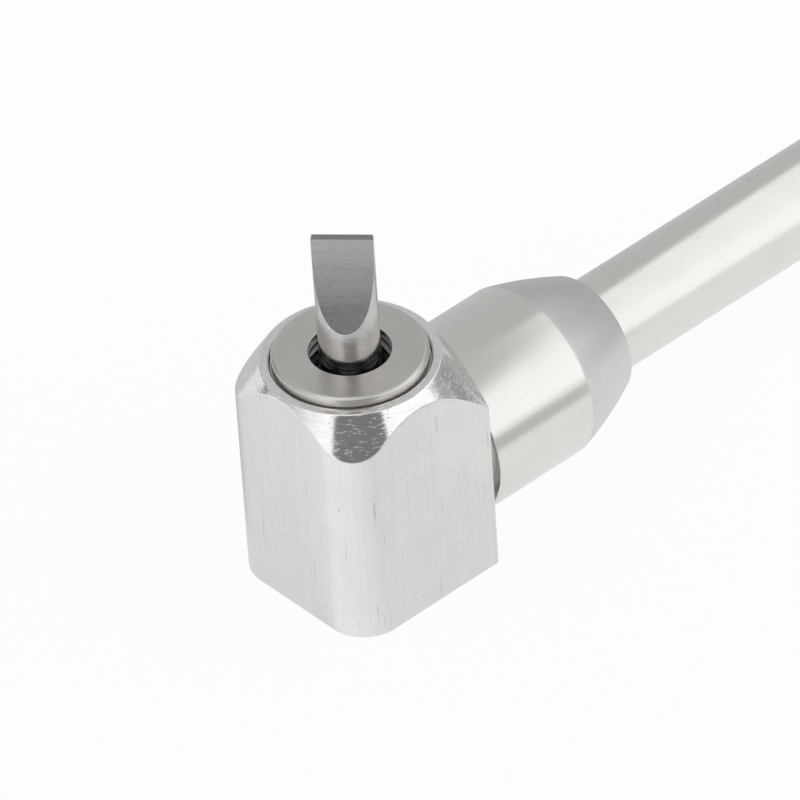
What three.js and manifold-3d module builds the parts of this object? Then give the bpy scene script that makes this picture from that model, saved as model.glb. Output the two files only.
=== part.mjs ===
// A right-angle carburetor adjustment tool. A knob at the far end of a slim tube turns a shaft
// and a pair of mitre gears, and these turn a flat screwdriver bit that stands square to the tube.
// Millimetres, +Z up. The bit turns about the Z axis, the head block's base lies at z = 0 and the
// tube runs along +X.
import * as THREE from 'three';
import { mergeVertices } from 'three/addons/utils/BufferGeometryUtils.js';
import Module from 'manifold-3d';

// Fits
const RUNNING_CLEARANCE = 0.08; // radial, round a piece that turns
const SEAT_CLEARANCE = 0.05; // radial, round a piece that is pressed or screwed in
const END_PLAY = 0.1; // along the axis, beside a piece that turns

// Mitre gears, one to one
const GEAR_MODULE = 0.8;
const GEAR_TEETH = 12;
const GEAR_FACE_WIDTH = 2.3;
const GEAR_BACKLASH = 0.12; // along the pitch circle, taken off each tooth
const PRESSURE_ANGLE = THREE.MathUtils.degToRad(20);
const PITCH_CONE_ANGLE = Math.PI / 4; // equal gears on square axes
const ADDENDUM_RATIO = 1;
const DEDENDUM_RATIO = 1.25;
const GEAR_RIM = 0.35; // behind the tooth roots, along the back cone
const GEAR_WEB = 0.9; // from the tooth roots' outer ends to the gear's back
const GEAR_HUB_RADIUS = 3.3;
const GEAR_HUB_LENGTH = 3.8;
const HUB_PIN_RADIUS = 0.6;
const WEB_PIN_RADIUS = 0.4;
const PIN_RECESS = 0.3; // each pin's ends, below the surface that it is driven into
const PIN_AXIAL_SHARE = 0.4; // place of the driven gear's pin between the teeth's small and large ends

// Head block
const BLOCK_FLOOR = 1.634; // under the spindle's pilot bush
const BLOCK_END_WALL = 1.1; // between the bush's bore and the block's front and back faces
const BLOCK_SIDE_WALL = 1.6; // between the bush's bore and the block's side faces
const BLOCK_CORNER_RADIUS = 4; // on the two corners away from the tube
const CHAMFER_ANGLE = THREE.MathUtils.degToRad(33.5); // of the turned top, from the bit's axis
const TOP_LAND = 0.95; // flat ring between the bush and the turned chamfer
const CHAMBER_GAP = 0.6; // between the gears and the chamber's walls
const BUSH_MOUTH_CHAMFER = 0.15; // at the mouth of the bush's bore

// Output spindle, its bush and its washers
const JOURNAL_RADIUS = 1.75; // the ends of the spindle and the shaft that carry the gears
const SPINDLE_WALL = 1.2; // round the hexagon socket's corners
const FLANGE_STEP = 1.2;
const FLANGE_THICKNESS = 0.8;
const WASHER_THICKNESS = 0.5;
const BUSH_SEAT = 0.57; // the bush's overlap on the block's shoulder
const BUSH_PROUD = 0.9; // the bush's height above the block
const BUSH_LIP_THICKNESS = 1;
const MOUTH_CLEARANCE = 0.134; // between the bush's mouth and the corners of the bit's tail
const BUSH_EDGE = 0.3; // chamfer round the bush's top
const PILOT_BUSH_WALL = 1.1;
const PILOT_BUSH_LENGTH = 2.4;
const PILOT_END_GAP = 0.3;

// Bit
const HEX_ACROSS_FLATS = 6.35; // quarter-inch tail
const SOCKET_CLEARANCE = 0.1; // on each flat of the hexagon
const SOCKET_DEPTH = 6;
const HEX_RECESS = 1.2; // the tail's shoulder below the spindle's mouth
const BIT_NECK_STEP = 0.335; // the round neck's step in from the tail's flats
const BIT_REACH = 12.9; // the tip above the bush
const BLADE_LENGTH = 9;
const TIP_THICKNESS = 0.75;
const GRIND_RADIUS = 20; // of the wheel that hollows each flat
const BLADE_ANGLE = THREE.MathUtils.degToRad(-45); // the blade's width, from +X
const MAGNET_RADIUS = 2.4;
const MAGNET_THICKNESS = 1;
const MAGNET_FLOOR = 0.8;

// Collar and tube
const GEAR_PASS = 0.7; // room for the drive gear to go through the block's side bore
const SPIGOT_GAP = 1.2; // between the driven gear and the spigot's end
const SPIGOT_WALL = 1.2;
const NECK_STEP = 1.1; // the neck's shoulder on the block
const NECK_LENGTH = 1; // the dark groove between the block and the collar
const COLLAR_RADIUS = 8.75;
const COLLAR_LENGTH = 11.9;
const TAPER_LENGTH = 7.2;
const TAPER_END_WALL = 1.3; // round the tube at the taper's small end
const TUBE_RADIUS = 4.8;
const TUBE_WALL = 1.2;
const TUBE_LENGTH = 220;
const TUBE_END_GAP = 0.3; // between the front bush and the tube

// Shaft and its bushes
const SHAFT_SHOULDER = 0.75; // the shaft's step out behind the drive gear
const SHAFT_BUSH_WALL = 0.95;
const FRONT_BUSH_LENGTH = 4.5;
const FRONT_FLANGE_THICKNESS = 0.8;
const FRONT_FLANGE_STEP = 0.8;
const WASHER_OVERHANG = 0.8; // the front washer past the hub
const GUIDE_LENGTH = 8;
const REAR_BUSH_LENGTH = 10;
const REAR_FLANGE_THICKNESS = 1.5;
const REAR_FLANGE_STEP = 0.8; // past the tube

// Knob
const KNOB_BOSS_LENGTH = 6;
const KNOB_BOSS_STEP = 2.5; // the boss's step in from the grip
const KNOB_GRIP_LENGTH = 18.5;
const KNOB_EDGE = 1; // chamfer round both ends of the grip
const KNOB_SHAFT_DEPTH = 18;
const KNOB_BORE_SPARE = 0.5; // past the shaft's end
const SHAFT_FLAT_DEPTH = 0.4;
const SHAFT_FLAT_LENGTH = 5;
const SET_SCREW_RADIUS = 1.5;
const SET_SCREW_RECESS = 0.3;
const SET_SCREW_TIP_GAP = 0.1;
const SET_SCREW_SOCKET_FLATS = 1.5;
const SET_SCREW_SOCKET_DEPTH = 1.5;

// Facets
const ROUND_SEGMENTS = 48;
const SMALL_SEGMENTS = 32;
const ARC_SEGMENTS = 12;
const FLANK_POINTS = 4;
const CUT_MARGIN = 1; // how far a cutting shape runs past what it cuts

// Gear sizes that follow from the teeth
const pitchRadius = GEAR_MODULE * GEAR_TEETH / 2;
const developedRadius = pitchRadius / Math.cos(PITCH_CONE_ANGLE);
const tipRho = developedRadius + GEAR_MODULE * ADDENDUM_RATIO;
const rootRho = developedRadius - GEAR_MODULE * DEDENDUM_RATIO;
const coneDistance = pitchRadius / Math.sin(PITCH_CONE_ANGLE);
const smallEndScale = (coneDistance - GEAR_FACE_WIDTH) / coneDistance;
const gearTipRadius = tipRho * Math.cos(PITCH_CONE_ANGLE);
const gearRootRadius = rootRho * Math.cos(PITCH_CONE_ANGLE);
const gearRootAxial = backConeAxial(rootRho);
const gearBack = gearRootAxial + GEAR_WEB;

// Spindle line, heights from the block's base
const hexCornerRadius = HEX_ACROSS_FLATS / 2 / Math.cos(Math.PI / 6);
const socketCornerRadius = hexCornerRadius + SOCKET_CLEARANCE / Math.cos(Math.PI / 6);
const bitNeckRadius = HEX_ACROSS_FLATS / 2 - BIT_NECK_STEP;
const bushMouthRadius = hexCornerRadius + MOUTH_CLEARANCE;
const spindleRadius = socketCornerRadius + SPINDLE_WALL;
const flangeRadius = spindleRadius + FLANGE_STEP;
const chamberRadius = Math.max(flangeRadius, gearTipRadius) + CHAMBER_GAP;
const bushRadius = chamberRadius + BUSH_SEAT;
const bushBoreRadius = bushRadius + SEAT_CLEARANCE;
const pilotBushRadius = JOURNAL_RADIUS + RUNNING_CLEARANCE + PILOT_BUSH_WALL;
const chamberFloor = BLOCK_FLOOR + PILOT_BUSH_LENGTH;
const shaftHeight = chamberFloor + CHAMBER_GAP + gearTipRadius;
const flangeBase = shaftHeight + gearBack;
const flangeTop = flangeBase + FLANGE_THICKNESS;
const thrustWasherBase = flangeTop + END_PLAY;
const bushBase = thrustWasherBase + WASHER_THICKNESS;
const magnetBase = flangeBase + MAGNET_FLOOR;
const socketFloor = magnetBase + MAGNET_THICKNESS;
const spindleTop = socketFloor + SOCKET_DEPTH;
const bushLipBase = spindleTop + END_PLAY;
const bushTop = bushLipBase + BUSH_LIP_THICKNESS;
const blockHeight = bushTop - BUSH_PROUD;
const bitShoulder = spindleTop - HEX_RECESS;
const bitTip = bushTop + BIT_REACH;
const bladeRoot = bitTip - BLADE_LENGTH;

// Shaft line, distances along X from the bit's axis
const blockHalfDepth = bushBoreRadius + BLOCK_END_WALL;
const blockHalfWidth = bushBoreRadius + BLOCK_SIDE_WALL;
const hubEnd = gearBack + GEAR_HUB_LENGTH;
const frontWasherRadius = GEAR_HUB_RADIUS + WASHER_OVERHANG;
const frontWasherStart = hubEnd + END_PLAY;
const frontBushStart = frontWasherStart + WASHER_THICKNESS + END_PLAY;
const frontBushSleeveStart = frontBushStart + FRONT_FLANGE_THICKNESS;
const frontBushEnd = frontBushSleeveStart + FRONT_BUSH_LENGTH;
const shaftRadius = JOURNAL_RADIUS + SHAFT_SHOULDER;
const shaftBoreRadius = shaftRadius + RUNNING_CLEARANCE;
const frontSleeveRadius = shaftBoreRadius + SHAFT_BUSH_WALL;
const frontFlangeRadius = frontSleeveRadius + FRONT_FLANGE_STEP;
const hubChamberRadius = Math.max(frontWasherRadius, frontFlangeRadius) + SEAT_CLEARANCE;
const spigotRadius = Math.max(gearTipRadius + GEAR_PASS, hubChamberRadius + SPIGOT_WALL);
const spigotStart = gearTipRadius + SPIGOT_GAP;
const collarStart = blockHalfDepth + NECK_LENGTH;
const taperStart = collarStart + COLLAR_LENGTH;
const collarEnd = taperStart + TAPER_LENGTH;
const tubeStart = frontBushEnd + TUBE_END_GAP;
const tubeEnd = tubeStart + TUBE_LENGTH;
const tubeBoreRadius = TUBE_RADIUS - TUBE_WALL;
const rearFlangeRadius = TUBE_RADIUS + REAR_FLANGE_STEP;
const rearWasherStart = tubeEnd + REAR_FLANGE_THICKNESS + END_PLAY;
const knobStart = rearWasherStart + WASHER_THICKNESS + END_PLAY;
const gripStart = knobStart + KNOB_BOSS_LENGTH;
const knobEnd = gripStart + KNOB_GRIP_LENGTH;
const knobRadius = shaftHeight; // the tool lies level on its block and its knob
const knobBossRadius = knobRadius - KNOB_BOSS_STEP;
const shaftEnd = knobStart + KNOB_SHAFT_DEPTH;
const setScrewPlace = knobStart + KNOB_BOSS_LENGTH / 2;
const shaftFlatHeight = shaftRadius - SHAFT_FLAT_DEPTH;

const wasm = await Module();
wasm.setup();

// A closed geometry, with its shared vertices merged and its faces outward, as a solid.
function solidOf(geometry) {
  const bare = geometry.clone();
  bare.deleteAttribute('normal');
  bare.deleteAttribute('uv');
  const merged = mergeVertices(bare);
  const index = merged.index.array;
  const triangles = [];
  for (let i = 0; i < index.length; i += 3) {
    const [a, b, c] = index.slice(i, i + 3);
    if (a !== b && b !== c && c !== a) triangles.push(a, b, c);
  }
  const mesh = new wasm.Mesh({
    numProp: 3,
    vertProperties: new Float32Array(merged.attributes.position.array),
    triVerts: new Uint32Array(triangles),
  });
  return new wasm.Manifold(mesh);
}

function geometryOf(solid) {
  const mesh = solid.getMesh();
  const geometry = new THREE.BufferGeometry();
  geometry.setAttribute('position', new THREE.BufferAttribute(mesh.vertProperties, mesh.numProp));
  geometry.setIndex(new THREE.BufferAttribute(mesh.triVerts, 1));
  return geometry;
}

// Cuts each of the tools out of the body.
function cut(body, ...tools) {
  let solid = solidOf(body);
  for (const tool of tools) solid = solid.subtract(solidOf(tool));
  return geometryOf(solid);
}

// A piece turned about Z. The profile lists [radius, height] anticlockwise, so that radius grows to
// the right and height upwards, and it is closed here where it does not run along the axis.
function turned(profile, segments = ROUND_SEGMENTS) {
  const points = profile.map(([radius, height]) => new THREE.Vector2(radius, height));
  const onAxis = profile[0][0] === 0 && profile.at(-1)[0] === 0;
  if (!onAxis) points.push(points[0].clone());
  return new THREE.LatheGeometry(points, segments).rotateX(Math.PI / 2);
}

function ring(inner, outer, base, top, segments = SMALL_SEGMENTS) {
  return turned([[inner, base], [outer, base], [outer, top], [inner, top]], segments);
}

function rod(radius, base, top, segments = SMALL_SEGMENTS) {
  return turned([[0, base], [radius, base], [radius, top], [0, top]], segments);
}

// A hexagon bar along Z, with a corner on the X axis.
function hexagonBar(acrossFlats, base, top) {
  const cornerRadius = acrossFlats / 2 / Math.cos(Math.PI / 6);
  return rod(cornerRadius, base, top, 6).rotateZ(Math.PI / 6);
}

// A round pin or hole square to Z, centred on the axis and lying along X.
function crossRod(radius, halfLength, height) {
  return rod(radius, -halfLength, halfLength).rotateY(Math.PI / 2).translate(0, 0, height);
}

// Axial place of a point on a gear's back cone, which stands square to the pitch cone.
function backConeAxial(rho) {
  return pitchRadius - (rho - developedRadius) * Math.sin(PITCH_CONE_ANGLE);
}

function involute(angle) {
  return Math.tan(angle) - angle;
}

// Half the angle that a tooth spans round the gear's axis, at a radius of the developed back cone.
function toothHalfAngle(rho) {
  const baseRho = developedRadius * Math.cos(PRESSURE_ANGLE);
  const pitchThickness = Math.PI * GEAR_MODULE / 2 - GEAR_BACKLASH;
  const flankAngle = Math.acos(Math.min(1, baseRho / rho));
  const developed = pitchThickness / 2 / developedRadius + involute(PRESSURE_ANGLE) - involute(flankAngle);
  return developed / Math.cos(PITCH_CONE_ANGLE);
}

// The toothed outline at the large end of a gear, as points about Z with the cones' apex at the origin.
function toothedOutline(phase) {
  const outline = [];
  for (let tooth = 0; tooth < GEAR_TEETH; tooth += 1) {
    const middle = (tooth + phase) * 2 * Math.PI / GEAR_TEETH;
    for (let i = 0; i < FLANK_POINTS * 2; i += 1) {
      const rising = i < FLANK_POINTS;
      const step = rising ? i : FLANK_POINTS * 2 - 1 - i;
      const rho = THREE.MathUtils.lerp(rootRho, tipRho, step / (FLANK_POINTS - 1));
      const angle = middle + (rising ? -1 : 1) * toothHalfAngle(rho);
      const radius = rho * Math.cos(PITCH_CONE_ANGLE);
      outline.push(new THREE.Vector3(
        radius * Math.cos(angle),
        radius * Math.sin(angle),
        backConeAxial(rho),
      ));
    }
  }
  return outline;
}

// Joins a closed chain of rings, all with the same number of points, into one closed skin.
function skinOfRings(rings) {
  const count = rings[0].length;
  const positions = rings.flatMap((points) => points.flatMap((point) => point.toArray()));
  const indices = [];
  rings.forEach((points, r) => {
    const next = (r + 1) % rings.length;
    for (let i = 0; i < count; i += 1) {
      const j = (i + 1) % count;
      const corners = [r * count + i, r * count + j, next * count + j, next * count + i];
      indices.push(corners[0], corners[1], corners[2], corners[0], corners[2], corners[3]);
    }
  });
  const geometry = new THREE.BufferGeometry();
  geometry.setAttribute('position', new THREE.Float32BufferAttribute(positions, 3));
  geometry.setIndex(indices);
  return geometry;
}

// A straight bevel gear about Z with its apex at the origin. The back profile lists [radius, axial]
// from the rim behind the teeth to the outer edge of the bore.
function mitreGear(phase, backProfile) {
  const largeEnd = toothedOutline(phase);
  const smallEnd = largeEnd.map((point) => point.clone().multiplyScalar(smallEndScale));
  const first = Math.atan2(largeEnd[0].y, largeEnd[0].x);
  const circle = (radius, axial) => largeEnd.map((_, i) => {
    const angle = first + i * 2 * Math.PI / largeEnd.length;
    return new THREE.Vector3(radius * Math.cos(angle), radius * Math.sin(angle), axial);
  });
  const boreRadius = JOURNAL_RADIUS + SEAT_CLEARANCE;
  const front = gearRootAxial * smallEndScale;
  return skinOfRings([
    circle(boreRadius, front),
    smallEnd,
    largeEnd,
    ...backProfile.map(([radius, axial]) => circle(radius, axial)),
    circle(boreRadius, backProfile.at(-1)[1]),
  ]);
}

const TOOTH_PHASE = GEAR_TEETH / 2; // a tooth at the top of the drive gear
const GAP_PHASE = 0.5; // a gap towards the tube on the driven gear
const rimRadius = gearRootRadius - GEAR_RIM;
const rimAxial = gearRootAxial + GEAR_RIM;
const hubPinPlace = gearBack + GEAR_HUB_LENGTH / 2;
const webPinPlace = gearRootAxial * THREE.MathUtils.lerp(smallEndScale, 1, PIN_AXIAL_SHARE);
const webPinHalfLength = gearRootRadius / gearRootAxial * (webPinPlace - WEB_PIN_RADIUS) - PIN_RECESS;

function driveGear() {
  const gear = mitreGear(TOOTH_PHASE, [
    [rimRadius, rimAxial],
    [rimRadius, gearBack],
    [GEAR_HUB_RADIUS, gearBack],
    [GEAR_HUB_RADIUS, hubEnd],
  ]);
  const pinHole = crossRod(HUB_PIN_RADIUS + SEAT_CLEARANCE, GEAR_HUB_RADIUS + CUT_MARGIN, hubPinPlace);
  return cut(gear, pinHole);
}

function drivenGear() {
  const gear = mitreGear(GAP_PHASE, [
    [rimRadius, rimAxial],
    [rimRadius, gearBack],
  ]);
  const pinHole = crossRod(WEB_PIN_RADIUS + SEAT_CLEARANCE, gearRootRadius + CUT_MARGIN, webPinPlace);
  return cut(gear, pinHole);
}

// The block's plan: square corners beside the tube and round ones away from it.
function blockPlan() {
  const x = blockHalfDepth;
  const y = blockHalfWidth;
  const r = BLOCK_CORNER_RADIUS;
  const plan = new THREE.Shape();
  plan.moveTo(x, -y);
  plan.lineTo(x, y);
  plan.lineTo(r - x, y);
  plan.absarc(r - x, y - r, r, Math.PI / 2, Math.PI, false);
  plan.lineTo(-x, r - y);
  plan.absarc(r - x, r - y, r, Math.PI, Math.PI * 1.5, false);
  plan.closePath();
  return plan;
}

function headBlock() {
  const bar = new THREE.ExtrudeGeometry(blockPlan(), {
    depth: blockHeight,
    bevelEnabled: false,
    curveSegments: ARC_SEGMENTS,
  });
  const landRadius = bushRadius + TOP_LAND;
  const skirtRadius = Math.hypot(blockHalfDepth, blockHalfWidth) + CUT_MARGIN;
  const skirtHeight = blockHeight - (skirtRadius - landRadius) / Math.tan(CHAMFER_ANGLE);
  const turnedTop = turned([
    [0, -CUT_MARGIN],
    [skirtRadius, -CUT_MARGIN],
    [skirtRadius, skirtHeight],
    [landRadius, blockHeight],
    [0, blockHeight],
  ], ROUND_SEGMENTS * 2);
  const uprightBore = turned([
    [0, BLOCK_FLOOR],
    [pilotBushRadius + SEAT_CLEARANCE, BLOCK_FLOOR],
    [pilotBushRadius + SEAT_CLEARANCE, chamberFloor],
    [chamberRadius, chamberFloor],
    [chamberRadius, bushBase],
    [bushBoreRadius, bushBase],
    [bushBoreRadius, blockHeight - BUSH_MOUTH_CHAMFER],
    [bushBoreRadius + BUSH_MOUTH_CHAMFER, blockHeight],
    [bushBoreRadius + BUSH_MOUTH_CHAMFER, blockHeight + CUT_MARGIN],
    [0, blockHeight + CUT_MARGIN],
  ]);
  const sideBore = rod(spigotRadius + SEAT_CLEARANCE, 0, blockHalfDepth + CUT_MARGIN, ROUND_SEGMENTS)
    .rotateY(Math.PI / 2)
    .translate(0, 0, shaftHeight);
  const shaped = solidOf(bar).intersect(solidOf(turnedTop));
  return geometryOf(shaped.subtract(solidOf(uprightBore)).subtract(solidOf(sideBore)));
}

function spindleBush() {
  const journalBore = spindleRadius + RUNNING_CLEARANCE;
  return turned([
    [journalBore, bushBase],
    [bushRadius, bushBase],
    [bushRadius, bushTop - BUSH_EDGE],
    [bushRadius - BUSH_EDGE, bushTop],
    [bushMouthRadius, bushTop],
    [bushMouthRadius, bushLipBase],
    [journalBore, bushLipBase],
  ]);
}

function spindle() {
  const body = turned([
    [0, BLOCK_FLOOR + PILOT_END_GAP],
    [JOURNAL_RADIUS, BLOCK_FLOOR + PILOT_END_GAP],
    [JOURNAL_RADIUS, flangeBase],
    [flangeRadius, flangeBase],
    [flangeRadius, flangeTop],
    [spindleRadius, flangeTop],
    [spindleRadius, spindleTop],
    [0, spindleTop],
  ]);
  const socketFlats = HEX_ACROSS_FLATS + SOCKET_CLEARANCE * 2;
  const socket = hexagonBar(socketFlats, socketFloor, spindleTop + CUT_MARGIN).rotateZ(BLADE_ANGLE);
  const magnetPocket = rod(MAGNET_RADIUS + SEAT_CLEARANCE, magnetBase, socketFloor + CUT_MARGIN);
  const pinHole = crossRod(WEB_PIN_RADIUS + SEAT_CLEARANCE, JOURNAL_RADIUS + CUT_MARGIN,
    shaftHeight + webPinPlace);
  return cut(body, socket, magnetPocket, pinHole);
}

// The bit's outline seen along the blade's width: a straight neck that two wheel-ground hollows
// thin down to the tip.
function bladeProfile() {
  const half = TIP_THICKNESS / 2;
  const wide = bitNeckRadius + CUT_MARGIN;
  const chord = new THREE.Vector2(bitNeckRadius - half, -BLADE_LENGTH);
  const outward = new THREE.Vector2(-chord.y, chord.x).normalize();
  const rise = Math.sqrt(GRIND_RADIUS ** 2 - chord.lengthSq() / 4);
  const centre = new THREE.Vector2(half, bitTip).addScaledVector(chord, 0.5).addScaledVector(outward, rise);
  const rootAngle = Math.atan2(bladeRoot - centre.y, bitNeckRadius - centre.x);
  const tipAngle = Math.atan2(bitTip - centre.y, half - centre.x);
  const profile = new THREE.Shape();
  profile.moveTo(-wide, bitShoulder - CUT_MARGIN);
  profile.lineTo(wide, bitShoulder - CUT_MARGIN);
  profile.lineTo(wide, bladeRoot);
  profile.absarc(centre.x, centre.y, GRIND_RADIUS, rootAngle, tipAngle, true);
  profile.absarc(-centre.x, centre.y, GRIND_RADIUS, Math.PI - tipAngle, Math.PI - rootAngle, true);
  profile.lineTo(-wide, bladeRoot);
  profile.closePath();
  return profile;
}

function bit() {
  const width = (bitNeckRadius + CUT_MARGIN) * 2;
  const blade = new THREE.ExtrudeGeometry(bladeProfile(), {
    depth: width,
    bevelEnabled: false,
    curveSegments: ARC_SEGMENTS,
  });
  blade.translate(0, 0, -width / 2).rotateX(Math.PI / 2).rotateZ(Math.PI / 2);
  const neck = rod(bitNeckRadius, bitShoulder - CUT_MARGIN, bitTip, ROUND_SEGMENTS);
  const tail = hexagonBar(HEX_ACROSS_FLATS, socketFloor, bitShoulder);
  const whole = solidOf(neck).intersect(solidOf(blade)).add(solidOf(tail));
  return geometryOf(whole).rotateZ(BLADE_ANGLE);
}

function collar() {
  return turned([
    [hubChamberRadius, spigotStart],
    [spigotRadius, spigotStart],
    [spigotRadius, blockHalfDepth],
    [spigotRadius + NECK_STEP, blockHalfDepth],
    [spigotRadius + NECK_STEP, collarStart],
    [COLLAR_RADIUS, collarStart],
    [COLLAR_RADIUS, taperStart],
    [TUBE_RADIUS + TAPER_END_WALL, collarEnd],
    [TUBE_RADIUS + SEAT_CLEARANCE, collarEnd],
    [TUBE_RADIUS + SEAT_CLEARANCE, tubeStart],
    [frontSleeveRadius + SEAT_CLEARANCE, tubeStart],
    [frontSleeveRadius + SEAT_CLEARANCE, frontBushSleeveStart],
    [hubChamberRadius, frontBushSleeveStart],
  ]);
}

function frontShaftBush() {
  return turned([
    [shaftBoreRadius, frontBushStart],
    [frontFlangeRadius, frontBushStart],
    [frontFlangeRadius, frontBushSleeveStart],
    [frontSleeveRadius, frontBushSleeveStart],
    [frontSleeveRadius, frontBushEnd],
    [shaftBoreRadius, frontBushEnd],
  ], SMALL_SEGMENTS);
}

function rearShaftBush() {
  const sleeveRadius = tubeBoreRadius - SEAT_CLEARANCE;
  return turned([
    [shaftBoreRadius, tubeEnd - REAR_BUSH_LENGTH],
    [sleeveRadius, tubeEnd - REAR_BUSH_LENGTH],
    [sleeveRadius, tubeEnd],
    [rearFlangeRadius, tubeEnd],
    [rearFlangeRadius, tubeEnd + REAR_FLANGE_THICKNESS],
    [shaftBoreRadius, tubeEnd + REAR_FLANGE_THICKNESS],
  ], SMALL_SEGMENTS);
}

function shaftGuide() {
  const middle = (tubeStart + tubeEnd) / 2;
  const start = middle - GUIDE_LENGTH / 2;
  return ring(shaftBoreRadius, tubeBoreRadius - SEAT_CLEARANCE, start, start + GUIDE_LENGTH);
}

function driveShaft() {
  const front = gearRootAxial * smallEndScale;
  const body = turned([
    [0, front],
    [JOURNAL_RADIUS, front],
    [JOURNAL_RADIUS, hubEnd],
    [shaftRadius, hubEnd],
    [shaftRadius, shaftEnd],
    [0, shaftEnd],
  ], SMALL_SEGMENTS);
  const pinHole = crossRod(HUB_PIN_RADIUS + SEAT_CLEARANCE, JOURNAL_RADIUS + CUT_MARGIN, hubPinPlace);
  const flat = new THREE.BoxGeometry(shaftRadius, shaftRadius * 2 + CUT_MARGIN, SHAFT_FLAT_LENGTH)
    .translate(-shaftFlatHeight - shaftRadius / 2, 0, setScrewPlace);
  return cut(body, pinHole, flat);
}

function knob() {
  const bore = shaftRadius + SEAT_CLEARANCE;
  const body = turned([
    [bore, knobStart],
    [knobBossRadius, knobStart],
    [knobBossRadius, gripStart],
    [knobRadius - KNOB_EDGE, gripStart],
    [knobRadius, gripStart + KNOB_EDGE],
    [knobRadius, knobEnd - KNOB_EDGE],
    [knobRadius - KNOB_EDGE, knobEnd],
    [0, knobEnd],
    [0, shaftEnd + KNOB_BORE_SPARE],
    [bore, shaftEnd + KNOB_BORE_SPARE],
  ]);
  const screwHole = rod(SET_SCREW_RADIUS + SEAT_CLEARANCE, 0, knobBossRadius + CUT_MARGIN)
    .rotateY(-Math.PI / 2)
    .translate(0, 0, setScrewPlace);
  return cut(body, screwHole);
}

function setScrew() {
  const base = shaftFlatHeight + SET_SCREW_TIP_GAP;
  const top = knobBossRadius - SET_SCREW_RECESS;
  const socket = hexagonBar(SET_SCREW_SOCKET_FLATS, top - SET_SCREW_SOCKET_DEPTH, top + CUT_MARGIN);
  return cut(rod(SET_SCREW_RADIUS, base, top), socket)
    .rotateY(-Math.PI / 2)
    .translate(0, 0, setScrewPlace);
}

const ALUMINIUM = { color: 0xcfcfcd, roughness: 0.34, metalness: 1 };
const TURNED_ALUMINIUM = { color: 0xd6d6d4, roughness: 0.22, metalness: 1 };
const STEEL = { color: 0xb1aeaa, roughness: 0.3, metalness: 1 };
const GROUND_STEEL = { color: 0x8f8d8b, roughness: 0.38, metalness: 1 };
const BRONZE = { color: 0xb08a55, roughness: 0.4, metalness: 1 };
const NYLON = { color: 0xe6e2d6, roughness: 0.6, metalness: 0 };
const MAGNET = { color: 0xc4c4c8, roughness: 0.2, metalness: 1 };

function addPiece(group, name, geometry, finish) {
  const mesh = new THREE.Mesh(geometry, new THREE.MeshStandardMaterial(finish));
  mesh.name = name;
  group.add(mesh);
}

const tool = new THREE.Group();

const spindleLine = new THREE.Group();
tool.add(spindleLine);
addPiece(spindleLine, 'head_block', headBlock(), ALUMINIUM);
addPiece(spindleLine, 'spindle_bush', spindleBush(), STEEL);
addPiece(spindleLine, 'spindle_thrust_washer',
  ring(spindleRadius + RUNNING_CLEARANCE, flangeRadius, thrustWasherBase, bushBase), BRONZE);
addPiece(spindleLine, 'spindle_pilot_bush',
  ring(JOURNAL_RADIUS + RUNNING_CLEARANCE, pilotBushRadius, BLOCK_FLOOR, chamberFloor), BRONZE);
addPiece(spindleLine, 'spindle', spindle(), STEEL);
addPiece(spindleLine, 'bit_magnet', rod(MAGNET_RADIUS, magnetBase, socketFloor), MAGNET);
addPiece(spindleLine, 'bit', bit(), GROUND_STEEL);

const gearCentre = new THREE.Group();
gearCentre.position.z = shaftHeight;
tool.add(gearCentre);
addPiece(gearCentre, 'driven_gear', drivenGear(), STEEL);
addPiece(gearCentre, 'driven_gear_pin', crossRod(WEB_PIN_RADIUS, webPinHalfLength, webPinPlace), STEEL);

// In this group Z runs along the tube, and -X points up.
const shaftLine = new THREE.Group();
shaftLine.position.z = shaftHeight;
shaftLine.rotation.y = Math.PI / 2;
tool.add(shaftLine);
addPiece(shaftLine, 'collar', collar(), TURNED_ALUMINIUM);
addPiece(shaftLine, 'tube',
  ring(tubeBoreRadius, TUBE_RADIUS, tubeStart, tubeEnd, ROUND_SEGMENTS), TURNED_ALUMINIUM);
addPiece(shaftLine, 'front_shaft_bush', frontShaftBush(), BRONZE);
addPiece(shaftLine, 'front_thrust_washer',
  ring(shaftBoreRadius, frontWasherRadius, frontWasherStart, frontWasherStart + WASHER_THICKNESS), BRONZE);
addPiece(shaftLine, 'shaft_guide', shaftGuide(), NYLON);
addPiece(shaftLine, 'rear_shaft_bush', rearShaftBush(), BRONZE);
addPiece(shaftLine, 'drive_shaft', driveShaft(), STEEL);
addPiece(shaftLine, 'drive_gear', driveGear(), STEEL);
addPiece(shaftLine, 'drive_gear_pin',
  crossRod(HUB_PIN_RADIUS, GEAR_HUB_RADIUS - PIN_RECESS, hubPinPlace), STEEL);
addPiece(shaftLine, 'knob_washer',
  ring(shaftBoreRadius, rearFlangeRadius, rearWasherStart, rearWasherStart + WASHER_THICKNESS), BRONZE);
addPiece(shaftLine, 'knob', knob(), TURNED_ALUMINIUM);
addPiece(shaftLine, 'knob_set_screw', setScrew(), STEEL);

export default tool;
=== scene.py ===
"""The finished look of a right-angle carburetor adjustment tool: a satin aluminium head block with a
flat steel bit, a turned collar, a drawn tube and a knurled knob, in soft light on a white floor."""

import math

import bmesh
import bpy
import numpy as np
from mathutils import Matrix, Vector


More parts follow.
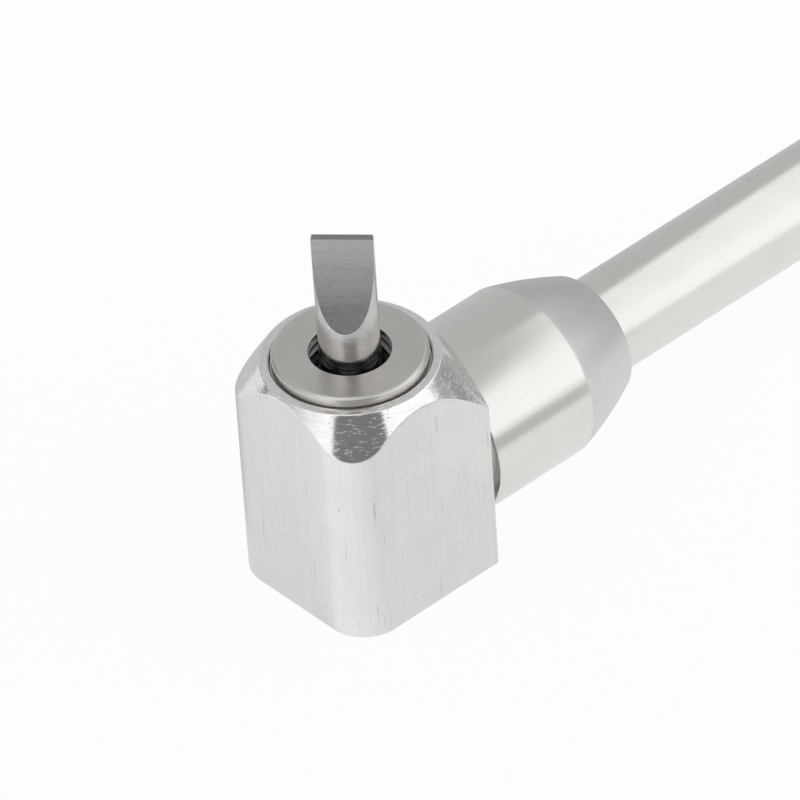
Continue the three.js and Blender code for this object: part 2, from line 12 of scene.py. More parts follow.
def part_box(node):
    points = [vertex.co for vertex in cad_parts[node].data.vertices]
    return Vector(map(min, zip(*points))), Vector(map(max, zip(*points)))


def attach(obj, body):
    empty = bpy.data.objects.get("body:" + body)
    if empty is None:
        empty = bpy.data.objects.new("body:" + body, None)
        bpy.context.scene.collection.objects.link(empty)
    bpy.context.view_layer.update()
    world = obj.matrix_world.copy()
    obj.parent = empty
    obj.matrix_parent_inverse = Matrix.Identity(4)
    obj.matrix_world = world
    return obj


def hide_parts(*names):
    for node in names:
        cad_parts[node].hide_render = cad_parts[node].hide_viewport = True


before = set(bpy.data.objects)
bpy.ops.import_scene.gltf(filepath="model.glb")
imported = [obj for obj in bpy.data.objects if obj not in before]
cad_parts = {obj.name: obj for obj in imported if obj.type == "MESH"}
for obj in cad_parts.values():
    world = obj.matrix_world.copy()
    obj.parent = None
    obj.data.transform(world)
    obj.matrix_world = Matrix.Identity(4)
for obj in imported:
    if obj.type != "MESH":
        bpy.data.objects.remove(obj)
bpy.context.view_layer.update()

MM = 0.001


def box_mm(node):
    """Lowest and highest corner of a construction solid, in millimetres."""
    low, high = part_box(node)
    return np.array(low) / MM, np.array(high) / MM


# Sizes taken from the frame, in millimetres
_, block_high = box_mm("head_block")
bush_low, bush_high = box_mm("spindle_bush")
bit_low, bit_high = box_mm("bit")
collar_low, collar_high = box_mm("collar")
tube_low, tube_high = box_mm("tube")
rear_bush_low, rear_bush_high = box_mm("rear_shaft_bush")
washer_low, washer_high = box_mm("knob_washer")
knob_low, knob_high = box_mm("knob")
screw_low, screw_high = box_mm("knob_set_screw")
_, shaft_high = box_mm("drive_shaft")
shaft_height = (tube_low[2] + tube_high[2]) / 2

# Sizes that the solids' boxes do not give, in millimetres
SEAT_CLEARANCE = 0.05
CORNER_RADIUS = 4.0
SQUARE_CORNER_BREAK = 0.25
CHAMFER_ANGLE = math.radians(33.5)
TOP_LAND = 0.95
BORE_MOUTH_CHAMFER = 0.15
CHAMBER_RADIUS = 6.78
CHAMBER_FLOOR = 4.034
PILOT_RADIUS = 2.98
PILOT_FLOOR = 1.634
BUSH_EDGE = 0.3
BUSH_LIP = 1.0
BUSH_RELIEF = 0.13
BUSH_RELIEF_DEPTH = 0.5
MOUTH_RADIUS = 3.8
JOURNAL_RADIUS = 5.06
NECK_RADIUS = 2.84
HEX_FLATS = 6.35
TAIL_LENGTH = 4.8
TAIL_POINT_INSET = 0.5
TAIL_POINT_LENGTH = 0.6
TAIL_SHOULDER_LENGTH = 0.7
TAIL_FILLET_RISE = 0.08
TAIL_FILLET_LENGTH = 0.05
BLADE_LENGTH = 9.0
TIP_THICKNESS = 0.75
TIP_CORNER = 0.16
TIP_CORNER_SHARE = 0.6
GRIND_RADIUS = 20.0
BLADE_TURN = math.radians(-46.9)
SPIGOT_RADIUS = 6.066
GROOVE_RADIUS = 7.166
GROOVE_LENGTH = 1.0
COLLAR_CYLINDER = 11.8
TAPER_BULGE = 0.2
TAPER_END_RADIUS = 6.1
HUB_CHAMBER_RADIUS = 4.38
SLEEVE_RADIUS = 3.58
SLEEVE_START = 11.4
TUBE_BORE = 3.6
SHAFT_BORE = 2.58
KNOB_BORE = 2.55
KNOB_BOSS_STEP = 2.5
KNOB_BOSS_LENGTH = 6.0
KNOB_EDGE = 1.0
KNOB_DISH = 0.6
KNOB_RIM = 1.2
KNOB_BORE_SPARE = 0.5
KNURL_STARTS = 44
KNURL_DEPTH = 0.42
KNURL_FLOOR = 1.15
KNURL_FLANK = 1.3
KNURL_HELIX = math.radians(32)
EDGE_BREAK = 0.12

# Rounded corners: points on each, the share of a side that one may take, and where its guard points sit
EASE_STEPS = 5
EASE_SHARE = 0.3
EASE_GUARD = 1.3

# Columns of points round each form, and rows along it
ROUND_COLUMNS = 192
TAPER_ROWS = 24
BIT_ARC_COLUMNS = 49
BIT_FLAT_COLUMNS = 25
TAIL_ROWS_PER_STEP = 4
BLADE_ROWS = 110
BLADE_ROW_POWER = 1.6
KNURL_ROWS = 130
KNURL_COLUMNS = KNURL_STARTS * 8
SCREW_HOLE_COLUMNS = 48
CORNER_STEPS = 36
SQUARE_CORNER_STEPS = 7
BLOCK_SPACING = 0.14

# Limits that tell faces apart: how far a face leans up, and a margin inside the neck in millimetres
LEANS_UP = 0.25
# Blade faces that lean up past this limit are the level tip, which gets a painted darker shade
LEVEL_FACE = 0.7
FLAT_MARGIN = 0.01

# Mesh clean-up: distance in metres under which points merge, a floor for divisors, and sharp edges' angles
MERGE_DISTANCE = 2e-8
TINY = 1e-9
SHARP_ANGLE = math.radians(32)
BLADE_SHARP_ANGLE = math.radians(18)

shaft_axis = Matrix(((0, 0, 1, 0), (0, 1, 0, 0), (-1, 0, 0, shaft_height), (0, 0, 0, 1)))


def eased(corners, size=EDGE_BREAK):
    """A polyline whose inner corners are rounded. Each corner P becomes the quadratic curve
    (1-t)^2 A + 2t(1-t) P + t^2 B between points A and B set back along its two sides, with one more
    point just outside each end to keep the flats flat. A corner of size 0 stays sharp. The array's
    first axis counts the corners and its last holds radius and height."""
    corners = np.asarray(corners, float)
    sizes = np.broadcast_to(np.asarray(size, float), (len(corners),))
    t = np.linspace(0, 1, EASE_STEPS).reshape((-1,) + (1,) * (corners.ndim - 1))
    rows = [corners[:1]]
    for before, corner, after, limit in zip(corners, corners[1:], corners[2:], sizes[1:]):
        if limit == 0:
            rows.append(corner[None])
            continue
        back, ahead = before - corner, after - corner
        back_length = np.linalg.norm(back, axis=-1, keepdims=True)
        ahead_length = np.linalg.norm(ahead, axis=-1, keepdims=True)
        setback = np.minimum(limit, EASE_SHARE * np.minimum(back_length, ahead_length))
        back, ahead = back / back_length * setback, ahead / ahead_length * setback
        curve = corner + (1 - t) ** 2 * back + t ** 2 * ahead
        rows += [(corner + EASE_GUARD * back)[None], curve, (corner + EASE_GUARD * ahead)[None]]
    rows.append(corners[-1:])
    return np.concatenate(rows)


def turned(profile, columns=ROUND_COLUMNS):
    """A surface of revolution about Z: the point at radius r, height z and angle a is
    (r cos a, r sin a, z). The profile lists [r, z] row by row."""
    angle = np.arange(columns) * 2 * np.pi / columns
    radius, height = np.asarray(profile, float).T[:, :, None]
    grid = np.broadcast_arrays(radius * np.cos(angle), radius * np.sin(angle), height)
    return np.stack(grid, -1)


def laid_along_tube(grid):
    """Turns a grid made about Z so that its Z runs along the tube and its -X points up."""
    turn = np.array(shaft_axis.to_3x3())
    return grid @ turn.T + np.array(shaft_axis.translation)


def skin(name, *grids):
    """One closed mesh from grids of points in millimetres. Each grid's columns close on themselves,
    rows that shrink to a point become poles, and equal points are merged."""
    points, faces, first = [], [], 0
    for grid in grids:
        rows, columns = grid.shape[:2]
        index = first + np.arange(rows * columns).reshape(rows, columns)
        beside = np.roll(index, -1, axis=1)
        quads = np.stack([index[:-1], beside[:-1], beside[1:], index[1:]], -1).reshape(-1, 4)
        points.append(grid.reshape(-1, 3) * MM)
        faces.append(quads)
        first += rows * columns
    mesh = bpy.data.meshes.new(name)
    mesh.from_pydata(np.concatenate(points).tolist(), [], np.concatenate(faces).tolist())
    form = bmesh.new()
    form.from_mesh(mesh)
    bmesh.ops.remove_doubles(form, verts=form.verts, dist=MERGE_DISTANCE)
    bmesh.ops.dissolve_degenerate(form, edges=form.edges, dist=MERGE_DISTANCE)
    bmesh.ops.recalc_face_normals(form, faces=form.faces)
    form.to_mesh(mesh)
    form.free()
    return mesh


def new_object(name, data):
    """A new object in the scene."""
    item = bpy.data.objects.new(name, data)
    bpy.context.scene.collection.objects.link(item)
    return item


def place(mesh, body, node, slot, *materials, sharp=SHARP_ANGLE):
    """Puts a finished mesh in the scene as the piece that stands for a construction solid."""
    mesh.shade_smooth()
    mesh.set_sharp_from_angle(angle=sharp)
    for material in materials:
        mesh.materials.append(material)
    piece = new_object(mesh.name, mesh)
    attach(piece, body)
    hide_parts(node)


def carved(mesh, cutter_mesh):
    """The mesh with a closed cutter's shape taken out of it."""
    body, cutter = new_object("carved_body", mesh), new_object("carving_cutter", cutter_mesh)
    cut = body.modifiers.new("cut", "BOOLEAN")
    cut.operation = "DIFFERENCE"
    cut.solver = "EXACT"
    cut.object = cutter
    bpy.context.view_layer.update()
    seen = body.evaluated_get(bpy.context.evaluated_depsgraph_get())
    result = bpy.data.meshes.new_from_object(seen)
    name = mesh.name
    for item in (body, cutter):
        bpy.data.objects.remove(item)
    bpy.data.meshes.remove(mesh)
    bpy.data.meshes.remove(cutter_mesh)
    result.name = name
    return result


def arc(centre, radius, start, end, steps):
    """Points on a circle in the plane, from one angle to another."""
    angle = np.linspace(start, end, steps)
    return np.stack([centre[0] + radius * np.cos(angle), centre[1] + radius * np.sin(angle)], -1)


def spread(start, end, spacing):
    """Points along a straight side at about the given spacing, without its last end."""
    count = max(2, int(np.linalg.norm(np.subtract(end, start)) / spacing))
    share = np.arange(1, count)[:, None] / count
    return np.asarray(start) * (1 - share) + np.asarray(end) * share


def block_outline():
    """The block's plan, anticlockwise: small breaks at the two corners beside the tube and wide round
    corners at the two away from it, joined by straight sides."""
    x, y = block_high[:2]
    wide, small = CORNER_RADIUS, SQUARE_CORNER_BREAK
    quarter = np.pi / 2
    corners = [
        arc((x - small, y - small), small, 0, quarter, SQUARE_CORNER_STEPS),
        arc((wide - x, y - wide), wide, quarter, 2 * quarter, CORNER_STEPS),
        arc((wide - x, wide - y), wide, 2 * quarter, 3 * quarter, CORNER_STEPS),
        arc((x - small, small - y), small, 3 * quarter, 4 * quarter, SQUARE_CORNER_STEPS),
    ]
    outline = []
    for corner, after in zip(corners, corners[1:] + corners[:1]):
        outline += [corner, spread(corner[-1], after[0], BLOCK_SPACING)]
    return np.concatenate(outline)


def block_body():
    """The head block. For each point of the plan at distance p from the bit's axis, one upright profile
    runs from the base's centre out to p, up the wall to the turned cone at height
    top - (p - land) / tan(chamfer angle), in along the cone to the flat land, and down the stepped bore."""
    plan = block_outline()
    reach = np.linalg.norm(plan, axis=1)
    direction = plan / reach[:, None]
    top = block_high[2]
    land = bush_high[0] + TOP_LAND
    bore = bush_high[0] + SEAT_CLEARANCE
    cone_foot = top - (reach - land) / math.tan(CHAMFER_ANGLE)
    corners = [
        (0, 0), (reach, 0), (reach, cone_foot), (land, top),
        (bore + BORE_MOUTH_CHAMFER, top), (bore, top - BORE_MOUTH_CHAMFER), (bore, bush_low[2]),
        (CHAMBER_RADIUS, bush_low[2]), (CHAMBER_RADIUS, CHAMBER_FLOOR), (PILOT_RADIUS, CHAMBER_FLOOR),
        (PILOT_RADIUS, PILOT_FLOOR), (0, PILOT_FLOOR),
    ]
    corners = np.array([np.stack(np.broadcast_arrays(r, z, reach)[:2], -1) for r, z in corners])
    breaks = [0, 2 * EDGE_BREAK, EDGE_BREAK, EDGE_BREAK, EDGE_BREAK / 3, EDGE_BREAK / 3, 0, 0, 0, 0, 0, 0]
    profile = eased(corners, breaks)
    flat = profile[..., :1] * direction
    grid = np.concatenate([flat, profile[..., 1:]], -1)
    side_bore = laid_along_tube(turned([
        (0, 0), (SPIGOT_RADIUS + SEAT_CLEARANCE, 0),
        (SPIGOT_RADIUS + SEAT_CLEARANCE, block_high[0] + 1), (0, block_high[0] + 1),
    ]))
    return carved(skin("head_block_body", grid), skin("side_bore", side_bore))


def face_values(mesh, what):
    """The normal or the centre of every face, as rows of three."""
    values = np.empty(len(mesh.polygons) * 3)
    mesh.polygons.foreach_get(what, values)
    return values.reshape(-1, 3)


def wear_turned_faces(mesh):
    """Gives the cone and the flat land, whose faces lean upwards near the top, the second finish."""
    leans_up = face_values(mesh, "normal")[:, 2] > LEANS_UP
    stands_high = face_values(mesh, "center")[:, 2] > block_high[2] / 2 * MM
    mesh.polygons.foreach_set("material_index", (leans_up & stands_high).astype(np.int32))
    return mesh


def finish_ground_faces_and_shade_tip(mesh):
    """Gives the blade's flats, which lie inside the neck's cylinder, the second finish, and the level tip
    the third: a darker copy of the ground steel, painted shade for the upward-facing tip face."""
    centres = face_values(mesh, "center") / MM
    inside = np.hypot(centres[:, 0], centres[:, 1]) < NECK_RADIUS - FLAT_MARGIN
    blade = centres[:, 2] > bit_high[2] - BLADE_LENGTH
    level = face_values(mesh, "normal")[:, 2] > LEVEL_FACE
    finish = np.where(inside & blade, np.where(level, 2, 1), 0)
    mesh.polygons.foreach_set("material_index", finish.astype(np.int32))
    return mesh


def wear_taper_faces(mesh):
    """Gives the outside of the collar's taper the second finish."""
    centres = face_values(mesh, "center") / MM
    taper_start = block_high[0] + GROOVE_LENGTH + COLLAR_CYLINDER - 2 * EDGE_BREAK
    distance = np.hypot(centres[:, 1], centres[:, 2] - shaft_height)
    outside = distance > tube_high[1] + 2 * SEAT_CLEARANCE
    mesh.polygons.foreach_set("material_index", (outside & (centres[:, 0] > taper_start)).astype(np.int32))
    return mesh


def bush_ring():
    """The spindle's bush: a ring about Z with an inner lip round the bit, and a rim that is relieved and
    eased where it stands out of the block."""
    lip_base = bush_high[2] - BUSH_LIP
    rim, relief_base = bush_high[0] - BUSH_RELIEF, block_high[2] - BUSH_RELIEF_DEPTH
    profile = eased([
        (JOURNAL_RADIUS, bush_low[2]), (bush_high[0], bush_low[2]), (bush_high[0], relief_base),
        (rim, relief_base), (rim, bush_high[2] - BUSH_EDGE), (rim - BUSH_EDGE, bush_high[2]),
        (MOUTH_RADIUS, bush_high[2]), (MOUTH_RADIUS, lip_base), (JOURNAL_RADIUS, lip_base),
        (JOURNAL_RADIUS, bush_low[2]),
    ], EDGE_BREAK)
    return skin("spindle_bush_ring", turned(profile))


def half_thickness(height):
    """Half the blade's thickness at a height: a wheel of the grinding radius hollows each flat from the
    neck's side at the blade's root to half the tip's thickness at the tip."""
    tip, root = bit_high[2], bit_high[2] - BLADE_LENGTH
    chord = np.array([NECK_RADIUS - TIP_THICKNESS / 2, root - tip])
    middle = np.array([TIP_THICKNESS / 2, tip]) + chord / 2
    outward = np.array([-chord[1], chord[0]]) / np.linalg.norm(chord)
    centre = middle + outward * math.sqrt(GRIND_RADIUS ** 2 - chord @ chord / 4)
    ground = centre[0] - np.sqrt(np.maximum(GRIND_RADIUS ** 2 - (height - centre[1]) ** 2, 0))
    return np.where(height < root, NECK_RADIUS, np.minimum(ground, NECK_RADIUS))


def hexagon_reach(angle):
    """Distance from the axis to a hexagon's side, with a corner at angle 0."""
    sixth = np.pi / 3
    return HEX_FLATS / 2 / np.cos(np.mod(angle, sixth) - sixth / 2)


def flat_bit():
    """The bit. A level section is a circle of radius R cut by two flats at +h and -h: two arcs that span
    asin(h / R) to each side of the blade's width, joined by straight runs, so that the edges of the flats
    follow the grid. On the tail the section is a hexagon, limited by a cone at both ends."""
    base, tip = bit_low[2], bit_high[2]
    shoulder, root = base + TAIL_LENGTH, tip - BLADE_LENGTH
    hex_corner = HEX_FLATS / math.sqrt(3)
    tail_reach = np.array([
        [base, 0], [base, HEX_FLATS / 2 - TAIL_POINT_INSET], [base + TAIL_POINT_LENGTH, hex_corner],
        [shoulder - TAIL_SHOULDER_LENGTH, hex_corner],
        [shoulder - TAIL_FILLET_LENGTH, NECK_RADIUS + TAIL_FILLET_RISE],
        [shoulder, NECK_RADIUS], [root, NECK_RADIUS],
    ])
    share = np.linspace(0, 1, BLADE_ROWS)
    blade_heights = root + BLADE_LENGTH * share ** BLADE_ROW_POWER
    corner_turn = np.clip(1 - (tip - blade_heights) / TIP_CORNER, 0, 1)
    corner_cut = TIP_CORNER_SHARE * TIP_CORNER * (1 - np.sqrt(1 - corner_turn ** 2))
    blade_reach = NECK_RADIUS - corner_cut
    steps = np.arange(len(tail_reach))
    tail_rows = np.linspace(0, steps[-1], TAIL_ROWS_PER_STEP * steps[-1] + 1)
    heights = np.concatenate([np.interp(tail_rows, steps, tail_reach[:, 0]), blade_heights[1:], [tip]])
    reach = np.concatenate([np.interp(tail_rows, steps, tail_reach[:, 1]), blade_reach[1:], [0]])
    thickness = np.concatenate([half_thickness(heights[:-1]), [0]])
    span = np.arcsin(np.clip(thickness / np.maximum(reach, TINY), 0, 1))
    span[:len(tail_rows)] = np.pi / 2
    span[-1] = 0
    side = np.linspace(-1, 1, BIT_ARC_COLUMNS)
    run = np.linspace(1, -1, BIT_FLAT_COLUMNS + 2)[1:-1]
    bow = span[:, None] * side
    arc_wide, arc_deep = reach[:, None] * np.cos(bow), reach[:, None] * np.sin(bow)
    flat_wide = (reach * np.cos(span))[:, None] * run
    flat_deep = np.broadcast_to((reach * np.sin(span))[:, None], flat_wide.shape)
    wide = np.concatenate([arc_wide, flat_wide, -arc_wide, -flat_wide], 1)
    deep = np.concatenate([arc_deep, flat_deep, -arc_deep, -flat_deep], 1)
    distance = np.hypot(wide, deep)
    limit = np.where(heights < shoulder, 1.0, np.inf)[:, None] * hexagon_reach(np.arctan2(deep, wide))
    trim = np.minimum(1, limit / np.maximum(distance, TINY))
    wide, deep = wide * trim, deep * trim
    cos, sin = math.cos(BLADE_TURN), math.sin(BLADE_TURN)
    x, y = wide * cos - deep * sin, wide * sin + deep * cos
    z = np.broadcast_to(heights[:, None], x.shape)
    return skin("flat_bit", np.stack([x, y, z], -1))


def collar_body():
    """The collar, turned about the tube's axis: a spigot, a groove beside the block, a cylinder and a taper.
    The taper swells a little: at share s of its length its radius is the straight cone's plus
    4 s (1 - s) times the bulge."""
    start, end = collar_low[0], collar_high[0]
    seat, radius = block_high[0], collar_high[1]
    groove_end = seat + GROOVE_LENGTH
    taper_start = groove_end + COLLAR_CYLINDER
    tube_bore = tube_high[1] + SEAT_CLEARANCE
    share = np.linspace(0, 1, TAPER_ROWS)
    taper_radius = radius + (TAPER_END_RADIUS - radius) * share + 4 * TAPER_BULGE * share * (1 - share)
    taper = np.stack([taper_radius, taper_start + (end - taper_start) * share], -1)
    hub = [
        (HUB_CHAMBER_RADIUS, start), (SPIGOT_RADIUS, start), (SPIGOT_RADIUS, seat), (GROOVE_RADIUS, seat),
        (GROOVE_RADIUS, groove_end), (radius, groove_end)]
    inside = [
        (tube_bore, end), (tube_bore, tube_low[0]), (SLEEVE_RADIUS, tube_low[0]),
        (SLEEVE_RADIUS, SLEEVE_START), (HUB_CHAMBER_RADIUS, SLEEVE_START), (HUB_CHAMBER_RADIUS, start)]
    profile = eased(np.concatenate([hub, taper, inside]), EDGE_BREAK)
    return skin("turned_collar", laid_along_tube(turned(profile)))


def drawn_tube():
    """The tube: a long ring about the tube's axis with eased ends."""
    radius = tube_high[1]
    profile = eased([
        (TUBE_BORE, tube_low[0]), (radius, tube_low[0]), (radius, tube_high[0]), (TUBE_BORE, tube_high[0]),
        (TUBE_BORE, tube_low[0]),
    ], EDGE_BREAK)
    return skin("drawn_tube", laid_along_tube(turned(profile, ROUND_COLUMNS // 2)))


def rear_bush_sleeve():
    """The bronze bush in the tube's far end, with its flange against the tube."""
    sleeve = TUBE_BORE - SEAT_CLEARANCE
    flange = rear_bush_high[1]
    start, end = rear_bush_low[0], rear_bush_high[0]
    profile = eased([
        (SHAFT_BORE, start), (sleeve, start), (sleeve, tube_high[0]), (flange, tube_high[0]),
        (flange, end), (SHAFT_BORE, end), (SHAFT_BORE, start),
    ], 2 * EDGE_BREAK)
    return skin("rear_bush_sleeve", laid_along_tube(turned(profile, ROUND_COLUMNS // 2)))


def washer_ring():
    """The thin bronze washer between the bush and the knob."""
    profile = eased([
        (SHAFT_BORE, washer_low[0]), (washer_high[1], washer_low[0]), (washer_high[1], washer_high[0]),
        (SHAFT_BORE, washer_high[0]), (SHAFT_BORE, washer_low[0]),
    ], EDGE_BREAK)
    return skin("knob_washer_ring", laid_along_tube(turned(profile, ROUND_COLUMNS // 2)))


def knurled_knob():
    """The knob: a plain boss with a screw hole, and a grip with a diamond knurl. Two families of V grooves
    wind round the grip in opposite helixes, and at each point the deeper groove is cut, so that pyramids
    stand between them; chamfers at both ends limit the radius."""
    radius, start, end = knob_high[1], knob_low[0], knob_high[0]
    boss, grip = radius - KNOB_BOSS_STEP, start + KNOB_BOSS_LENGTH
    bore_end = shaft_high[0] + KNOB_BORE_SPARE
    angle = np.arange(KNURL_COLUMNS) * 2 * np.pi / KNURL_COLUMNS
    pitch = 2 * np.pi * radius / KNURL_STARTS
    along = np.linspace(grip, end, KNURL_ROWS)[:, None]
    turns, climb = angle * KNURL_STARTS / (2 * np.pi), (along - grip) * math.tan(KNURL_HELIX) / pitch
    grooves = [np.abs(2 * np.mod(turns + sign * climb, 1) - 1) for sign in (1, -1)]
    depth = KNURL_DEPTH * np.clip(KNURL_FLOOR - KNURL_FLANK * np.minimum(*grooves), 0, 1)
    chamfer = radius - KNOB_EDGE + np.minimum(along - grip, end - along)
    grip_radius = np.minimum(radius - depth, np.minimum(radius, chamfer))
    front = eased([
        (KNOB_BORE, start), (boss, start), (boss, grip), (radius - KNOB_EDGE, grip)], EDGE_BREAK)[:-1]
    dish_edge = radius - KNOB_EDGE - KNOB_RIM
    back = eased([
        (radius - KNOB_EDGE, end), (dish_edge, end), (dish_edge - KNOB_DISH, end - KNOB_DISH),
        (0, end - KNOB_DISH)], 2 * EDGE_BREAK)[1:]
    inner = np.array([(0, bore_end), (KNOB_BORE, bore_end), (KNOB_BORE, start)])
    plain = [turned(rows, KNURL_COLUMNS) for rows in (front, back)]
    grip_grid = np.stack(np.broadcast_arrays(
        grip_radius * np.cos(angle), grip_radius * np.sin(angle), along), -1)
    shell = np.concatenate([plain[0], grip_grid, plain[1]])
    bore = turned(inner, KNURL_COLUMNS)
    screw_place = (screw_low[0] + screw_high[0]) / 2
    hole_radius = (screw_high[0] - screw_low[0]) / 2 + SEAT_CLEARANCE
    hole = turned([
        (0, shaft_height), (hole_radius, shaft_height), (hole_radius, shaft_height + radius),
        (0, shaft_height + radius)], SCREW_HOLE_COLUMNS) + np.array([screw_place, 0, 0])
    body = skin("knurled_knob", laid_along_tube(shell), laid_along_tube(bore))
    return carved(body, skin("screw_hole", hole))


# Shader helpers
FLOAT, VECTOR = "NodeSocketFloat", "NodeSocketVector"
MIX_COLOUR_INPUTS = (0, 6, 7)
MIX_COLOUR_RESULT = 2
WHITE = (1.0, 1.0, 1.0, 1.0)


def fill(tree, socket, value):
    """Links an output to a socket, or sets the socket to a plain value."""
    if isinstance(value, bpy.types.NodeSocket):
        tree.links.new(value, socket)
    else:
        socket.default_value = value


def add(tree, kind, inputs=None, **settings):
    """Adds one shader node, sets its options, and fills its inputs with values or links."""
    node = tree.nodes.new(kind)
    for key, value in settings.items():
        setattr(node, key, value)
    for key, value in (inputs or {}).items():
        fill(tree, node.inputs[key], value)
    return node


def math_node(tree, operation, first, second=0.0, third=0.0, clamp=False):
    """One arithmetic step on single numbers."""
    node = add(tree, "ShaderNodeMath", {0: first, 1: second, 2: third}, operation=operation, use_clamp=clamp)
    return node.outputs[0]


def product(tree, first, *others):
    """The product of single numbers."""
    for other in others:
        first = math_node(tree, "MULTIPLY", first, other)
    return first


def ramp(tree, value, low, high, to_low=0.0, to_high=1.0, smooth=True):
    """Maps low..high to to_low..to_high and stays level outside."""
    node = add(tree, "ShaderNodeMapRange", {
        "Value": value, "From Min": low, "From Max": high, "To Min": to_low, "To Max": to_high,
    }, interpolation_type="SMOOTHSTEP" if smooth else "LINEAR")
    return node.outputs["Result"]


def reach_along(tree, vector, way):
    """How far a vector reaches in one direction: their dot product."""
    node = add(tree, "ShaderNodeVectorMath", {0: vector, 1: way}, operation="DOT_PRODUCT")
    return node.outputs["Value"]


def blended(tree, factor, first, second):
    """A mix of two colours."""
    node = add(tree, "ShaderNodeMix", data_type="RGBA")
    for slot, value in zip(MIX_COLOUR_INPUTS, (factor, first, second)):
        fill(tree, node.inputs[slot], value)
    return node.outputs[MIX_COLOUR_RESULT]


def soft_noise(tree, vector, scale, detail, roughness=0.5):
    """Noise between 0 and 1 at a place."""
    node = add(tree, "ShaderNodeTexNoise", {
        "Vector": vector, "Scale": scale, "Detail": detail, "Roughness": roughness})
    return node.outputs["Fac"]


def ring_noise(tree, across, scale, detail):
    """Noise between 0 and 1 that depends on one number only."""
    node = add(tree, "ShaderNodeTexNoise", {
        "W": across, "Scale": scale, "Detail": detail, "Roughness": 0.5}, noise_dimensions="1D")
    return node.outputs["Fac"]


def group_tree(name, inputs, outputs):
    """An empty shader node group with named inputs (name, kind, value) and outputs (name, kind)."""
    tree = bpy.data.node_groups.new(name, "ShaderNodeTree")
    for label, kind, value in inputs:
        socket = tree.interface.new_socket(label, in_out="INPUT", socket_type=kind)
        if value is not None:
            socket.default_value = value
    for label, kind in outputs:
        tree.interface.new_socket(label, in_out="OUTPUT", socket_type=kind)
    return tree, tree.nodes.new("NodeGroupInput"), tree.nodes.new("NodeGroupOutput")


def new_finish(name):
    """A new material with its node tree and its surface shader."""
    material = bpy.data.materials.new(name)
    material.use_nodes = True
    tree = material.node_tree
    return material, tree, tree.nodes["Principled BSDF"]


# Drawn and extruded lines: lines in a metre, how long they run, and the coarse layer's scale and shares
LINES_PER_METRE = 9000.0
LINE_STRETCH = 60.0
DRAWN_COARSE_SCALE = 0.22
DRAWN_COARSE_HEIGHT = 0.4
DRAWN_COARSE_TONE = 0.35
DRAWN_FINE_TONE = 0.65


def drawn_lines_group():
    """Fine lines left by drawing or extruding: noise stretched along local Z, in a fine and a coarse
    layer."""
    tree, given, result = group_tree("drawn_lines", [
        ("Vector", VECTOR, None), ("Fineness", FLOAT, LINES_PER_METRE), ("Stretch", FLOAT, LINE_STRETCH)],
        [("Height", FLOAT), ("Tone", FLOAT)])
    squeeze = math_node(tree, "DIVIDE", 1.0, given.outputs["Stretch"])
    scale = add(tree, "ShaderNodeCombineXYZ", {"X": 1.0, "Y": 1.0, "Z": squeeze}).outputs[0]
    squeezed = add(tree, "ShaderNodeVectorMath", {
        0: given.outputs["Vector"], 1: scale}, operation="MULTIPLY").outputs[0]
    fine = soft_noise(tree, squeezed, given.outputs["Fineness"], 1.0)
    coarse_scale = product(tree, given.outputs["Fineness"], DRAWN_COARSE_SCALE)
    coarse = soft_noise(tree, squeezed, coarse_scale, 2.0)
    height = math_node(tree, "MULTIPLY_ADD", coarse, DRAWN_COARSE_HEIGHT, fine)
    tone = math_node(tree, "MULTIPLY_ADD", coarse, DRAWN_COARSE_TONE, product(tree, fine, DRAWN_FINE_TONE))
    tree.links.new(height, result.inputs["Height"])
    tree.links.new(tone, result.inputs["Tone"])
    return tree


# Turned rings: how they shift with height, the coarse layer, the dashes round the axis and the chatter
RING_LEAN = -0.83
RING_COARSE_SCALE = 0.25
RING_COARSE_SHARE = 0.3
RING_LINE_TONE = 0.7
DASHES_PER_METRE = 1300.0
DASH_SHARE = 0.4
CHATTER_EDGE = (0.60, 0.70)


def lathe_lines_group():
    """Rings left by a turning tool about local Z: noise of one number, the radius less a share of the
    height, in a fine and a coarse layer. Dashes are the same rings broken up round the axis, and chatter
    raises the tallest dashes further."""
    tree, given, result = group_tree("lathe_lines", [
        ("Vector", VECTOR, None), ("Fineness", FLOAT, LINES_PER_METRE), ("Dashes", FLOAT, DASH_SHARE),
        ("Radius Share", FLOAT, 1.0), ("Chatter", FLOAT, 0.0)],
        [("Height", FLOAT), ("Tone", FLOAT)])
    parts = add(tree, "ShaderNodeSeparateXYZ", {0: given.outputs["Vector"]})
    x, y, z = (parts.outputs[k] for k in "XYZ")
    flat = add(tree, "ShaderNodeCombineXYZ", {"X": x, "Y": y}).outputs[0]
    radius = add(tree, "ShaderNodeVectorMath", {0: flat}, operation="LENGTH").outputs["Value"]
    outward = product(tree, radius, given.outputs["Radius Share"])
    across = product(tree, math_node(tree, "MULTIPLY_ADD", z, RING_LEAN, outward), given.outputs["Fineness"])
    fine = ring_noise(tree, across, 1.0, 1.0)
    coarse = ring_noise(tree, across, RING_COARSE_SCALE, 2.0)
    dash_place = add(tree, "ShaderNodeCombineXYZ", {
        "X": product(tree, x, DASHES_PER_METRE), "Y": product(tree, y, DASHES_PER_METRE), "Z": across})
    dashes = soft_noise(tree, dash_place.outputs[0], 1.0, 1.0)
    whole_share = math_node(tree, "SUBTRACT", 1.0, given.outputs["Dashes"])
    rings = product(tree, fine, whole_share)
    lines = math_node(tree, "MULTIPLY_ADD", dashes, given.outputs["Dashes"], rings)
    chatter = ramp(tree, dashes, *CHATTER_EDGE)
    height = math_node(tree, "MULTIPLY_ADD", coarse, RING_COARSE_SHARE, lines)
    height = math_node(tree, "MULTIPLY_ADD", chatter, given.outputs["Chatter"], height)
    tone = math_node(tree, "MULTIPLY_ADD", coarse, RING_COARSE_SHARE, product(tree, lines, RING_LINE_TONE))
    tree.links.new(height, result.inputs["Height"])
    tree.links.new(tone, result.inputs["Tone"])
    return tree


